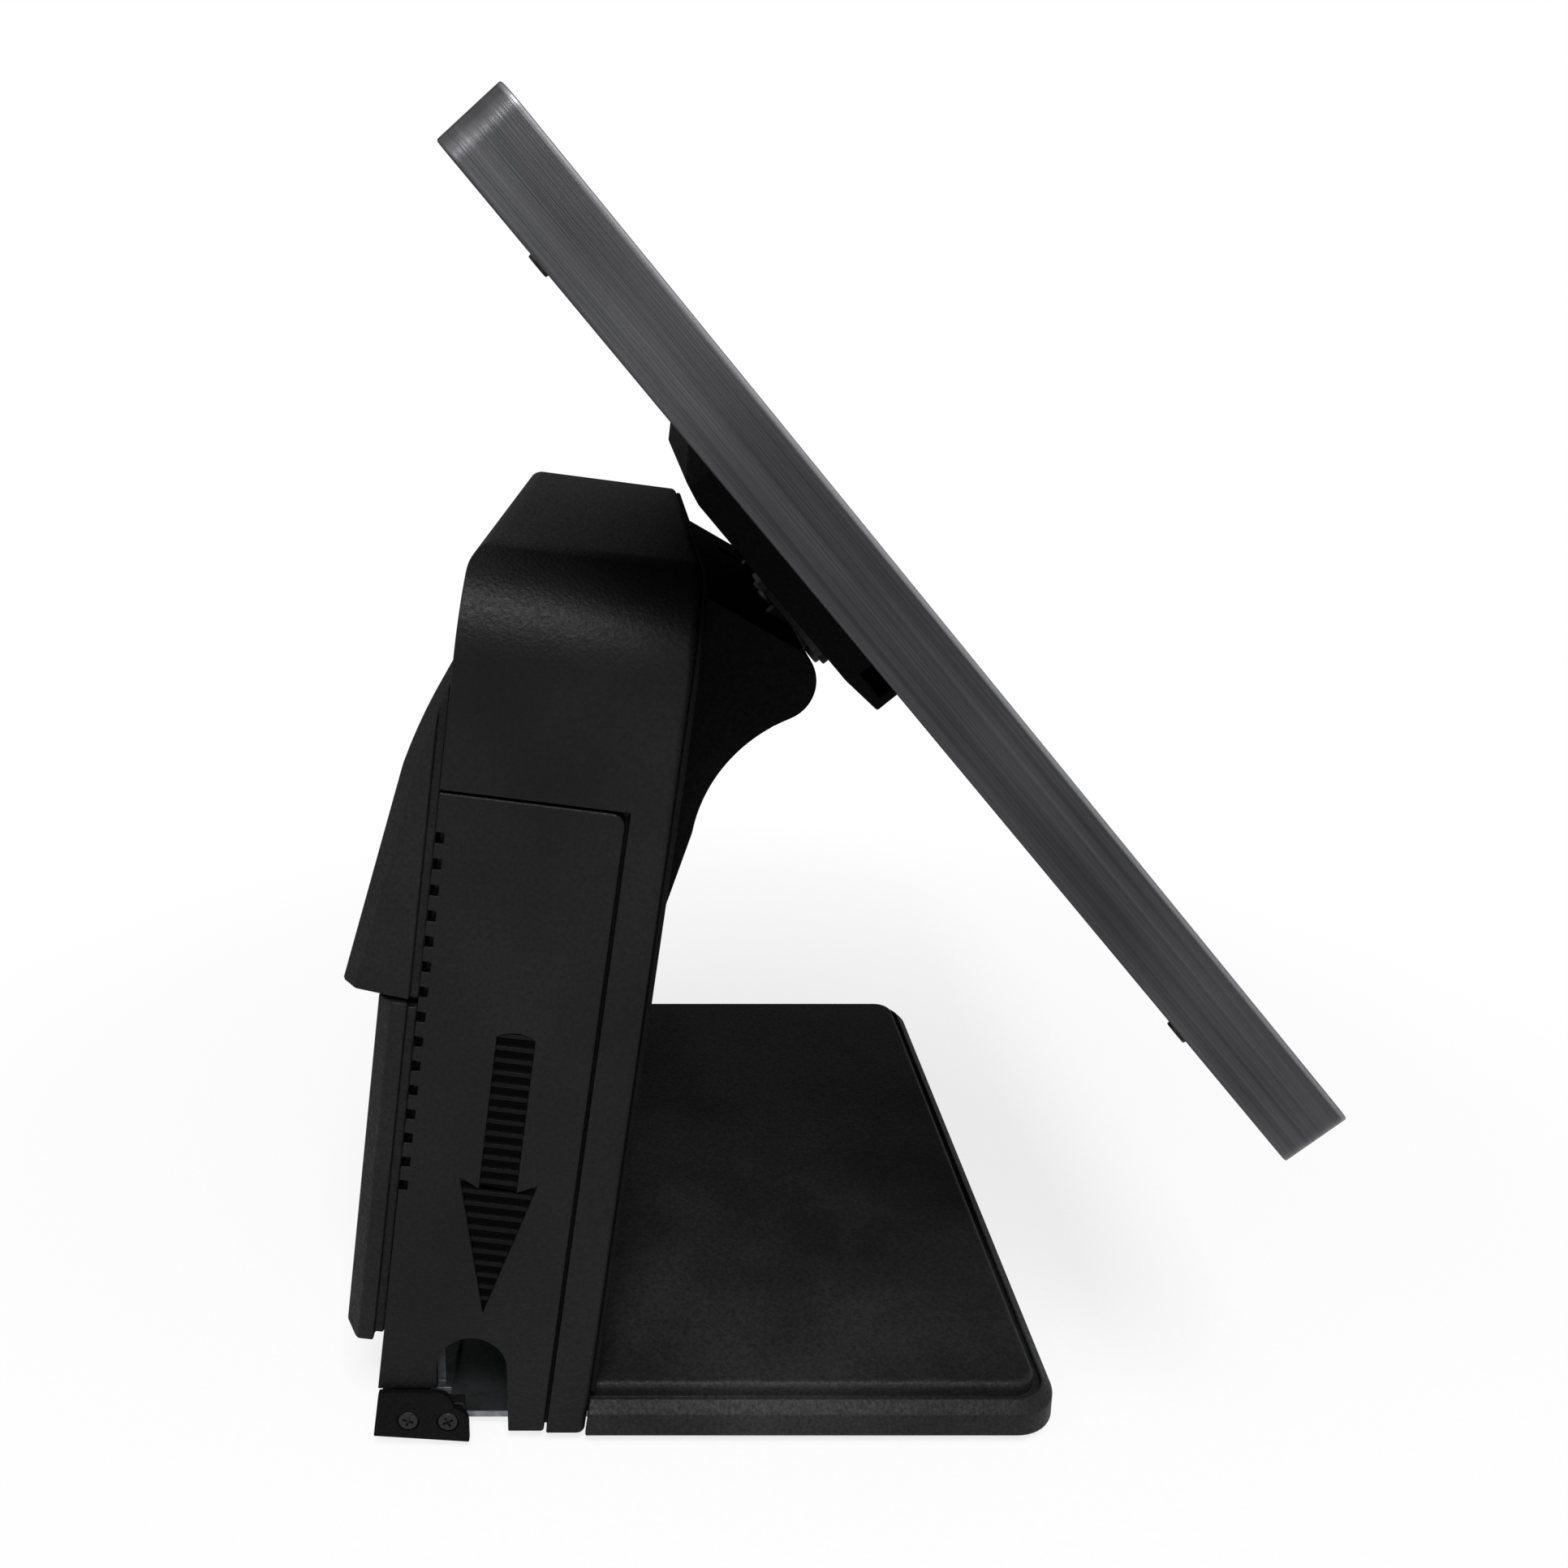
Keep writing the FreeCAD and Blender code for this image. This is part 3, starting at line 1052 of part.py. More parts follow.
keep("base_cover", base_cover())
keep("base_plate", base_plate())
keep("rubber_feet", rubber_feet())
keep("base_screws", base_screws())
keep("chassis_screws", chassis_screws())

# ---------------------------------------------------------------- files and figures
os.makedirs("parts", exist_ok=True)
for name, shape in NODES.items():
    if not shape.isValid() or any(not solid.isClosed() for solid in shape.Solids):
        print("BAD", name)
    if len(shape.Solids) == 1:
        shape = shape.Solids[0]
    shape.exportStep("parts/" + name + ".step")

whole = Part.makeCompound(list(NODES.values())).BoundBox
print("nodes", len(NODES))
print("box", [round(v, 3) for v in (whole.XMin, whole.YMin, whole.ZMin, whole.XMax, whole.YMax, whole.ZMax)])


def report_point(label, y, z, x=0.0):
    print(label, [round(x, 3), round(y + ROW_SHIFT.y, 3), round(z + ROW_SHIFT.z, 3)])


report_point("tilt axis", AXIS_Y, AXIS_Z)
report_point("fan axis", *lean_point(FAN_FRONT, COOLER_W), x=COOLER_X)
report_point("tower foot", 0.0, 0.0)
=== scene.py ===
# %% [markdown]
# # A countertop touchscreen terminal
#
# The terminal is a slim brushed-aluminium monitor on a leaning tower of fine-grained black plastic.
# Its frame comes from CAD: every part has its true size and place there. This notebook gives that
# frame its surfaces, softens the edges that a mould or a cutter leaves, and adds the small things
# that only the eye needs, such as screw recesses and the printed border of the glass.

# %% Load the frame
import bpy
import json
import math
from mathutils import Matrix, Vector


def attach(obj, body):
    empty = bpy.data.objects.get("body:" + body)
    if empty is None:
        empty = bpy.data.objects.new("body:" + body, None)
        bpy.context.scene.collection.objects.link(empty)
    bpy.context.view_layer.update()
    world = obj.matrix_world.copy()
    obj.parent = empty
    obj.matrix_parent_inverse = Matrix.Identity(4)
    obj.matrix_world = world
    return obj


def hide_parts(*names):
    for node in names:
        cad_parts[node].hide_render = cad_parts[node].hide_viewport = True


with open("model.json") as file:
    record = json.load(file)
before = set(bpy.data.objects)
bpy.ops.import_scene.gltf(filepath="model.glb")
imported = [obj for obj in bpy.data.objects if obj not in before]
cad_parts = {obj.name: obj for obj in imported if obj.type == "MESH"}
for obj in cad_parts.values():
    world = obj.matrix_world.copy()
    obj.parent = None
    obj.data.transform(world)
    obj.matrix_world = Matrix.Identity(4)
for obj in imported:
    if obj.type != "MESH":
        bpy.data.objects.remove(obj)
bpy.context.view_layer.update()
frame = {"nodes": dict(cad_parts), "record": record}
parts = frame["nodes"]
bodies = frame["record"]["behaviour"]["bodies"]
body_of = {part: body for body, names in bodies.items() for part in names}
MM = 0.001

# %% [markdown]
# ## The two leaning directions
#
# The tower leans forward and the monitor reclines. A pattern such as brushing follows its part, so
# each material needs the part's own directions. They could be typed in as angles, but the joints
# already hold them: the rear cover slides straight out of the tower's back, and the power button
# moves along the screen. Reading them keeps the looks right if the design changes.

# %% Directions and centres, read from the joints
joints = {joint["name"]: joint for joint in frame["record"]["behaviour"]["joints"]}
tower_back = Vector(joints["rear_cover_pull"]["axis"]).normalized()
screen_up = Vector(joints["power_button_press"]["axis"]).normalized()
tilt_axis = Vector(joints["monitor_tilt"]["pos_m"])
tower_lean = math.atan2(tower_back.z, tower_back.y)
screen_recline = math.atan2(screen_up.y, screen_up.z)
print("tower leans %.1f degrees, screen reclines %.1f" % (math.degrees(tower_lean),
                                                          math.degrees(screen_recline)))

# %% [markdown]
# ## The camera
#
# The view is from the terminal's left side, straight across it and a little down. The lens is a
# moderate wide angle close to the object, so the far side of the base runs away clearly. Turning
# the camera would centre the object, but it would also change the angles between the edges, so a
# small shift of the lens places the object in the picture instead.

# %% Camera
SENSOR = 36.0
camera_data = bpy.data.cameras.new("side_view")
camera_data.sensor_width = SENSOR
camera_data.lens = 31.71
camera_data.shift_x = 0.0989
camera_data.shift_y = -0.0718
camera = bpy.data.objects.new("side_view", camera_data)
camera.location = (-0.463, 0.0426, 0.3098)
camera.rotation_euler = (math.radians(90 - 13.204), 0, math.radians(-90))
bpy.context.scene.collection.objects.link(camera)
bpy.context.scene.camera = camera
print("camera at", tuple(round(v, 3) for v in camera.location))

# %% [markdown]
# ## Helpers for materials
#
# A colour is written the way a designer writes it, as an sRGB hex value, and turned to the linear
# light that the renderer works in. Nodes are added by one small function that takes the node's
# kind, its settings and what is plugged into it, so that a material reads from top to bottom.


# %% Colour and node helpers
def linear(code):
    """sRGB hex to linear RGBA."""
    channels = [int(code[i:i + 2], 16) / 255 for i in (1, 3, 5)]
    return tuple(c / 12.92 if c <= 0.04045 else ((c + 0.055) / 1.055) ** 2.4 for c in channels) + (1.0,)


def add(material, kind, inputs=None, **settings):
    """Add a node, set it up, and plug values or other nodes' sockets into its inputs."""
    made = material.node_tree.nodes.new(kind)
    for name, value in settings.items():
        setattr(made, name, value)
    for name, value in (inputs or {}).items():
        if isinstance(value, bpy.types.NodeSocket):
            material.node_tree.links.new(value, made.inputs[name])
        else:
            made.inputs[name].default_value = value
    return made


def new_material(name, **constants):
    """A material whose shader has its constants on its own sockets."""
    material = bpy.data.materials.new(name)
    material.use_nodes = True
    shader = material.node_tree.nodes["Principled BSDF"]
    for socket, value in constants.items():
        shader.inputs[socket.replace("_", " ")].default_value = value
    return material, shader


def plug(material, source, target):
    material.node_tree.links.new(source, target)


def part_place(material, angle=0.0, centre=(0, 0, 0)):
    """Object coordinates measured from a centre and turned about X into a part's own directions."""
    place = add(material, "ShaderNodeTexCoord").outputs["Object"]
    moved = add(material, "ShaderNodeVectorMath", {0: place, 1: tuple(centre)}, operation="SUBTRACT")
    turned = add(material, "ShaderNodeMapping", {"Vector": moved.outputs[0], "Rotation": (angle, 0, 0)})
    return turned.outputs["Vector"]


def stretch(material, place, across):
    """Scale a place in each of its axes."""
    return add(material, "ShaderNodeMapping", {"Vector": place, "Scale": across}).outputs["Vector"]


def ramp(material, source, stops):
    """A colour ramp between hex colours at given places."""
    made = add(material, "ShaderNodeValToRGB", {"Fac": source})
    line = made.color_ramp
    line.elements[0].position, line.elements[0].color = stops[0][0], linear(stops[0][1])
    line.elements[1].position, line.elements[1].color = stops[-1][0], linear(stops[-1][1])
    for place, code in stops[1:-1]:
        line.elements.new(place).color = linear(code)
    return made.outputs["Color"]


def put(name, material):
    """Give a CAD part or a piece one material."""
    target = parts[name] if name in parts else bpy.data.objects[name]
    target.data.materials.clear()
    target.data.materials.append(material)


# %% [markdown]
# ## Moulded black ABS
#
# The tower, base and hood are injection-moulded ABS. The mould is spark-eroded, which leaves a fine
# random grain: it breaks every reflection into small glints and keeps fingerprints from showing.
# A bump map could be painted, but a noise sized in real millimetres never tiles and fits any part.
# The real grain is about 0.3 mm; it is drawn at about 1 mm so that it still shows from a metre.


# %% Moulded ABS
def moulded_abs(name, dark, light, roughness, level, grain_mm=1.1, height_mm=0.5):
    """Spark-eroded ABS between two close tints."""
    material, shader = new_material(name, Specular_IOR_Level=level)
    place = part_place(material)
    grain = add(material, "ShaderNodeTexNoise", {"Vector": place, "Scale": 1000 / grain_mm,
                "Detail": 3.0, "Roughness": 0.6}).outputs["Fac"]
    cloud = add(material, "ShaderNodeTexNoise", {"Vector": place, "Scale": 22.0}).outputs["Fac"]
    mixed = add(material, "ShaderNodeMath", {0: grain, 1: cloud}, operation="MULTIPLY")
    plug(material, ramp(material, mixed.outputs[0], [(0.12, dark), (0.4, light)]),
         shader.inputs["Base Color"])
    rough = add(material, "ShaderNodeMapRange", {"Value": grain, "From Min": 0.3, "From Max": 0.7,
                "To Min": roughness + 0.12, "To Max": roughness - 0.1})
    plug(material, rough.outputs["Result"], shader.inputs["Roughness"])
    bump = add(material, "ShaderNodeBump", {"Height": grain, "Strength": 0.5,
               "Distance": height_mm * MM})
    plug(material, bump.outputs["Normal"], shader.inputs["Normal"])
    return material


TOWER_DARK, TOWER_LIGHT = "#0A0A0A", "#161617"
TOWER_ROUGHNESS, TOWER_LEVEL = 0.42, 0.1
tower_abs = moulded_abs("moulded_abs_fine_grain", TOWER_DARK, TOWER_LIGHT, TOWER_ROUGHNESS, TOWER_LEVEL)
# the neck copy is tinted darker as painted shade, the base and hood copies lighter as painted light;
# roughness and shine differ too
neck_abs = moulded_abs("moulded_abs_dull_painted_shade", "#050505", "#0C0C0D", 0.62, 0.05)
base_abs = moulded_abs("moulded_abs_satin_painted_light", "#141415", "#2A2A2B", 0.46, 0.08)
hood_abs = moulded_abs("moulded_abs_hood", "#0E0E0E", "#1A1A1B", 0.5, 0.1)
print("ABS finishes made")

# %% [markdown]
# ## The door's ribbed arrow
#
# The door is the same plastic as the tower. Its recessed arrow sees little light, so the pocket's
# colour is painted darker as painted shade, and its shine is turned down. The pocket could be given a
# second material, face by face, but depth already tells it apart: whatever lies behind the door's
# outer face is pocket. The outer face is read from the part, and a narrow range blends from one to the
# other.

# %% Door plastic
door_abs = moulded_abs("moulded_abs_door", TOWER_DARK, TOWER_LIGHT, TOWER_ROUGHNESS, TOWER_LEVEL)
shader = door_abs.node_tree.nodes["Principled BSDF"]
door_face = max(abs(vertex.co.x) for vertex in parts["side_door_left"].data.vertices)
POCKET_STARTS, POCKET_FULL = 0.2 * MM, 0.6 * MM          # behind the door's face
place = add(door_abs, "ShaderNodeSeparateXYZ", {"Vector": part_place(door_abs)})
out = add(door_abs, "ShaderNodeMath", {0: place.outputs["X"]}, operation="ABSOLUTE").outputs[0]
flush = add(door_abs, "ShaderNodeMapRange", {"Value": out, "From Min": door_face - POCKET_FULL,
            "From Max": door_face - POCKET_STARTS}).outputs["Result"]
tint = shader.inputs["Base Color"].links[0].from_socket
# painted shade: the pocket's colour turns near black behind the door's face
pocket_painted_shade = add(door_abs, "ShaderNodeMix", {"Factor": flush, 6: linear("#040404"), 7: tint},
            data_type="RGBA")
plug(door_abs, pocket_painted_shade.outputs[2], shader.inputs["Base Color"])
shine = add(door_abs, "ShaderNodeMapRange", {"Value": flush, "To Min": 0.01, "To Max": TOWER_LEVEL})
plug(door_abs, shine.outputs["Result"], shader.inputs["Specular IOR Level"])
print("door face at %.1f mm from the middle" % (door_face / MM))

# %% [markdown]
# ## Brushed, dark-anodised aluminium
#
# The monitor's band is an extrusion, brushed along its length and anodised dark grey. Brushing is
# thousands of shallow scratches, so the pattern is a noise that is stretched along the band and
# tight across it: a few centimetres long and about 0.1 mm wide, drawn at 0.5 mm so that it shows.
# The same noise serves all four sides, because it changes quickly only through the monitor's
# depth. The saw that trims the front edge leaves a bright line, drawn by depth in this material
# and made lighter still as a painted highlight along the edge.

# %% Brushed aluminium
brushed, shader = new_material("brushed_anodised_aluminium", Metallic=1.0)
head_place = part_place(brushed, screen_recline, tilt_axis)
fine = stretch(brushed, head_place, (7.0, 1000 / 0.5, 7.0))
scratches = add(brushed, "ShaderNodeTexNoise", {"Vector": fine, "Scale": 1.0, "Detail": 4.0,
                "Roughness": 0.7}).outputs["Fac"]
coarse = stretch(brushed, head_place, (5.0, 1000 / 3.0, 5.0))
bands = add(brushed, "ShaderNodeTexNoise", {"Vector": coarse, "Scale": 1.0}).outputs["Fac"]
cloud = add(brushed, "ShaderNodeTexNoise", {"Vector": head_place, "Scale": 9.0}).outputs["Fac"]
tone = add(brushed, "ShaderNodeMath", {0: scratches, 1: bands, 2: cloud}, operation="MULTIPLY_ADD")
anodised = ramp(brushed, tone.outputs[0], [(0.42, "#1E1E20"), (1.05, "#505052")])
depth = add(brushed, "ShaderNodeSeparateXYZ", {"Vector": head_place}).outputs["Y"]
HEAD_FRONT = -0.0414                     # the glass's face, ahead of the tilt axis
# the front edge's line: partly bare cut metal, partly a painted highlight
cut_edge_highlight_mask = add(brushed, "ShaderNodeMapRange", {"Value": depth, "From Min": HEAD_FRONT + 0.0013,
                  "From Max": HEAD_FRONT + 0.0007}).outputs["Result"]
band_with_cut_edge_highlight = add(brushed, "ShaderNodeMix", {"Factor": cut_edge_highlight_mask, 6: anodised, 7: linear("#77777A")},
              data_type="RGBA")
plug(brushed, band_with_cut_edge_highlight.outputs[2], shader.inputs["Base Color"])
rough = add(brushed, "ShaderNodeMapRange", {"Value": scratches, "From Min": 0.3, "From Max": 0.7,
            "To Min": 0.44, "To Max": 0.3})
plug(brushed, rough.outputs["Result"], shader.inputs["Roughness"])
bump = add(brushed, "ShaderNodeBump", {"Height": scratches, "Strength": 0.35, "Distance": 0.0004})
plug(brushed, bump.outputs["Normal"], shader.inputs["Normal"])
print("brushed aluminium made")

# %% [markdown]
# ## The touch glass
#
# A sheet of strengthened float glass with a black border printed on its back. Behind the clear
# middle lies the LCD, which is a little greyer than the print even when it is off. The border is
# placed by the active area's size, 304 by 228 mm for a 15 inch 4:3 panel, with a thin conductor
# line round it. The black under the gloss makes it look deep, so a plain shader with a clear coat
# does more here than real refraction, which would show every part behind it.


# %% Touch glass
def frame_mask(material, across, along, half_wide, half_tall, soft):
    """0 inside a rectangle and 1 outside, with a soft edge."""
    reaches = []
    for value, half in ((across, half_wide), (along, half_tall)):
        size = add(material, "ShaderNodeMath", {0: value}, operation="ABSOLUTE").outputs[0]
        reaches.append(add(material, "ShaderNodeMapRange", {"Value": size, "From Min": half - soft,
                       "From Max": half}).outputs["Result"])
    return add(material, "ShaderNodeMath", {0: reaches[0], 1: reaches[1]}, operation="MAXIMUM").outputs[0]


ACTIVE_WIDE, ACTIVE_TALL = 0.304, 0.228
SCREEN_MIDDLE = 0.0025
glass, shader = new_material("printed_touch_glass", Roughness=0.06, Specular_IOR_Level=0.5,
                             Coat_Weight=0.4, Coat_Roughness=0.02)
place = part_place(glass, screen_recline, tilt_axis)
split = add(glass, "ShaderNodeSeparateXYZ", {"Vector": place})
along = add(glass, "ShaderNodeMath", {0: split.outputs["Z"], 1: SCREEN_MIDDLE}, operation="SUBTRACT")
border = frame_mask(glass, split.outputs["X"], along.outputs[0], ACTIVE_WIDE / 2, ACTIVE_TALL / 2, 0.0004)
outer = frame_mask(glass, split.outputs["X"], along.outputs[0], ACTIVE_WIDE / 2 + 0.0022,
                   ACTIVE_TALL / 2 + 0.0022, 0.0004)
line = add(glass, "ShaderNodeMath", {0: border, 1: outer}, operation="SUBTRACT").outputs[0]
smear = add(glass, "ShaderNodeTexNoise", {"Vector": place, "Scale": 7.0, "Detail": 3.0}).outputs["Fac"]
panel = ramp(glass, smear, [(0.3, "#141618"), (0.7, "#1A1C1F")])
printed = add(glass, "ShaderNodeMix", {"Factor": border, 6: panel, 7: linear("#070708")},
              data_type="RGBA").outputs[2]
lined = add(glass, "ShaderNodeMix", {"Factor": line, 6: printed, 7: linear("#1E2022")},
            data_type="RGBA").outputs[2]
plug(glass, lined, shader.inputs["Base Color"])
wiped = add(glass, "ShaderNodeMapRange", {"Value": smear, "From Min": 0.35, "From Max": 0.75,
            "To Min": 0.03, "To Max": 0.11})
plug(glass, wiped.outputs["Result"], shader.inputs["Roughness"])
print("touch glass made")

# %% [markdown]
# ## The smaller finishes
#
# Most of the parts inside share a few real finishes: zinc-plated sheet, black-oxide steel, green
# solder mask, nickel shells. They differ in colour, roughness and one pattern each, so one recipe
# with two tints and a noise of a real size covers them. Zinc shows soft spangles a few millimetres
# wide, phosphated steel a fine speckle, extruded aluminium long die lines.


# %% Recipe for the smaller finishes
def plain_finish(name, dark, light, size_mm, rough, metallic=0.0, level=0.5, along=(1, 1, 1),
                 bump_mm=0.0, kind="ShaderNodeTexNoise"):
    """Two close tints and a roughness that follow one pattern of a real size."""
    material, shader = new_material(name, Metallic=metallic, Specular_IOR_Level=level)
    place = stretch(material, part_place(material), along)
    texture = add(material, kind, {"Vector": place, "Scale": 1000 / size_mm})
    amount = texture.outputs["Fac" if kind == "ShaderNodeTexNoise" else "Distance"]
    plug(material, ramp(material, amount, [(0.3, dark), (0.7, light)]), shader.inputs["Base Color"])
    spread = add(material, "ShaderNodeMapRange", {"Value": amount, "From Min": 0.3, "From Max": 0.7,
                 "To Min": rough[0], "To Max": rough[1]})
    plug(material, spread.outputs["Result"], shader.inputs["Roughness"])
    if bump_mm:
        bump = add(material, "ShaderNodeBump", {"Height": amount, "Strength": 0.5,
                   "Distance": bump_mm * MM})
        plug(material, bump.outputs["Normal"], shader.inputs["Normal"])
    return material


zinc = plain_finish("zinc_plated_steel", "#66686A", "#8E9092", 4.0, (0.5, 0.36), 1.0, bump_mm=0.05)
bright_zinc = plain_finish("bright_zinc_steel", "#A6A8AA", "#CDCFD0", 2.0, (0.3, 0.16), 1.0,
                           bump_mm=0.03)
black_steel = plain_finish("phosphated_steel", "#141415", "#242425", 0.7, (0.5, 0.34), 0.6, 0.4,
                           bump_mm=0.05)
nickel = plain_finish("nickel_plated_shell", "#A9A79F", "#C8C6BE", 3.0, (0.32, 0.2), 1.0)
satin_black = plain_finish("satin_black_nylon", "#0B0B0C", "#171718", 0.9, (0.5, 0.38), 0.0, 0.3,
                           bump_mm=0.1)
die_lines = plain_finish("extruded_aluminium", "#9B9C9E", "#C2C3C4", 6.0, (0.4, 0.26), 1.0,
                         along=(8, 8, 0.4), bump_mm=0.08)
lcd_film = plain_finish("matt_film", "#17181A", "#1E2023", 5.0, (0.6, 0.45), 0.0, 0.3)
rubber = plain_finish("moulded_rubber", "#0E0E0E", "#1B1B1B", 1.2, (0.85, 0.7), 0.0, 0.2, bump_mm=0.15)
print("smaller finishes made")

# %% [markdown]
# ## Circuit boards
#
# A board is glass-fibre laminate under green solder mask, with paler lines where copper runs
# beneath it. A brick pattern with thin joints gives long straight tracks with corners; a second,
# finer one adds the rows of pads. The board leans with the tower, so the pattern does too.


# %% Circuit boards
def solder_mask(name, angle, centre):
    material, shader = new_material(name, Roughness=0.35, Specular_IOR_Level=0.5)
    place = part_place(material, angle, centre)
    flat = add(material, "ShaderNodeSeparateXYZ", {"Vector": place})
    sheet = add(material, "ShaderNodeCombineXYZ", {"X": flat.outputs["X"], "Y": flat.outputs["Z"]})
    tracks = add(material, "ShaderNodeTexBrick", {"Vector": sheet.outputs[0], "Scale": 60.0,
                 "Color1": linear("#0F3B24"), "Color2": linear("#12442A"), "Mortar": linear("#1F6A43"),
                 "Mortar Size": 0.02, "Brick Width": 1.7, "Row Height": 0.23})
    pads = add(material, "ShaderNodeTexVoronoi", {"Vector": place, "Scale": 330.0})
    pad = add(material, "ShaderNodeMapRange", {"Value": pads.outputs["Distance"], "From Min": 0.2,
              "From Max": 0.14})
    mixed = add(material, "ShaderNodeMix", {"Factor": pad.outputs["Result"],
                6: tracks.outputs["Color"], 7: linear("#A7A28A")}, data_type="RGBA")
    plug(material, mixed.outputs[2], shader.inputs["Base Color"])
    bump = add(material, "ShaderNodeBump", {"Height": tracks.outputs["Fac"], "Strength": 0.3,
               "Distance": 0.0001})
    plug(material, bump.outputs["Normal"], shader.inputs["Normal"])
    return material


tower_foot = Vector((0, 0.0556, 0.004))
tower_board = solder_mask("solder_mask_tower", tower_lean * -1, tower_foot)
head_board = solder_mask("solder_mask_monitor", screen_recline, tilt_axis)

# %% [markdown]
# ## Window and customer display
#
# The window in the hood is smoked acrylic: from outside it is almost black and glossy, and what
# lights up behind it shows through. Here the terminal is off, so only the faint unlit characters
# of the display module show. They are two rows of twenty cells, each a 5 by 7 grid of dots, which
# a pair of repeating ramps draws without any lettering.

# %% Window and display
smoked, shader = new_material("smoked_acrylic", Roughness=0.08, IOR=1.49, Transmission_Weight=0.55)
place = part_place(smoked, -tower_lean, tower_foot)
haze = add(smoked, "ShaderNodeTexNoise", {"Vector": place, "Scale": 30.0}).outputs["Fac"]
plug(smoked, ramp(smoked, haze, [(0.3, "#121214"), (0.7, "#1A1A1D")]), shader.inputs["Base Color"])

display, shader = new_material("display_module_glass", Roughness=0.2, Specular_IOR_Level=0.5)
place = part_place(display, -tower_lean, tower_foot)
flat = add(display, "ShaderNodeSeparateXYZ", {"Vector": place})
sheet = add(display, "ShaderNodeCombineXYZ", {"X": flat.outputs["X"], "Y": flat.outputs["Z"]})
cells = add(display, "ShaderNodeTexBrick", {"Vector": sheet.outputs[0], "Scale": 1.0,
            "Color1": linear("#22302F"), "Color2": linear("#22302F"), "Mortar": linear("#0B1011"),
            "Mortar Size": 0.0009, "Mortar Smooth": 0.1, "Brick Width": 0.0085, "Row Height": 0.0125},
            offset=0.0)
dots = add(display, "ShaderNodeTexVoronoi", {"Vector": place, "Scale": 700.0})
dot = add(display, "ShaderNodeMapRange", {"Value": dots.outputs["Distance"], "From Min": 0.42,
          "From Max": 0.3})
lit = add(display, "ShaderNodeMix", {"Factor": dot.outputs["Result"], 6: linear("#0B1011"),
          7: cells.outputs["Color"]}, data_type="RGBA")
plug(display, lit.outputs[2], shader.inputs["Base Color"])

lamp_lens, shader = new_material("clear_lamp_lens", Roughness=0.15, Transmission_Weight=0.6)
place = part_place(lamp_lens)
frost = add(lamp_lens, "ShaderNodeTexNoise", {"Vector": place, "Scale": 900.0}).outputs["Fac"]
plug(lamp_lens, ramp(lamp_lens, frost, [(0.3, "#8FA3B5"), (0.7, "#B5C6D4")]), shader.inputs["Base Color"])
print("window, display and lamp made")

# %% [markdown]
# ## Finishes onto the CAD parts
#
# Every part gets one finish. The list is grouped by finish, because that is how the parts are
# bought: all sheet steel from one shop, all boards from another. A part without a finish stops
# the script, so nothing can be forgotten.

# %% Finishes onto the parts
finish_of = {
    tower_abs: "tower_cover",
    door_abs: "side_door_left side_door_right",
    neck_abs: "front_cover neck_cover tilt_housing monitor_rear_cover rear_panel"
              " corner_plate_left corner_plate_right",
    base_abs: "base_cover",
    hood_abs: "rear_cover display_hood",
    brushed: "monitor_frame",
    glass: "touch_glass",
    lcd_film: "lcd_panel",
    zinc: "lcd_bracket tilt_plate hinge_support_right hinge_support_left chassis bay_sheet ssd_bracket"
          " base_plate cable_hooks",
    bright_zinc: "friction_washers hinge_nuts tilt_shaft standoffs base_screws chassis_screws"
                 " board_screws",
    black_steel: "tilt_arm_right tilt_arm_left tilt_arm_screws monitor_screws corner_screws",
    tower_board: "motherboard memory_module display_board",
    head_board: "touch_controller_board lcd_driver_board button_board",
    smoked: "display_window",
    display: "customer_display",
    nickel: "usb_ports lan_port serial_ports",
    satin_black: "drawer_port dc_inlet fan_frame fan_rotor memory_socket speaker power_button",
    die_lines: "heatsink ssd_drive",
    lamp_lens: "power_lamp",
    rubber: "rubber_feet",
}
finished = {}
for finish, names in finish_of.items():
    for name in names.split():
        put(name, finish)
        finished[name] = finish
missing = sorted(set(parts) - set(finished))
assert not missing, missing
print(len(finished), "parts have a finish")

# %% [markdown]
# ## Soft edges on the moulded and milled parts
#
# The CAD edges are perfectly sharp, and nothing real is. A moulded edge has a radius of about half
# a millimetre, and that thin round is what catches the light and draws every outline. A shading
# trick could fake it, but then the edge would stay sharp in an exported mesh. So each outer part
# is copied, its loose triangles are welded and merged into whole faces, its sharp edges are
# selected by angle and bevelled in edit mode. The shading then follows the large flat faces rather
# than the thin rounds, so that a flat face stays flat, and the copy takes the CAD part's place.


# %% Soften a part
def only(target):
    """Deselect everything, then select one object and make it active."""
    bpy.ops.object.select_all(action="DESELECT")
    target.select_set(True)
    bpy.context.view_layer.objects.active = target


def take_place(piece, name, *others):
    """Give a piece the body, finish and place of a CAD part."""
    if not piece.data.materials:
        piece.data.materials.append(finished[name])
    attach(piece, body_of[name])
    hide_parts(name, *others)


WELD = 0.00001
FLAT = math.radians(0.5)
SHARP = math.radians(28)
SMOOTH = math.radians(32)
PIECE_SMOOTH = math.radians(35)


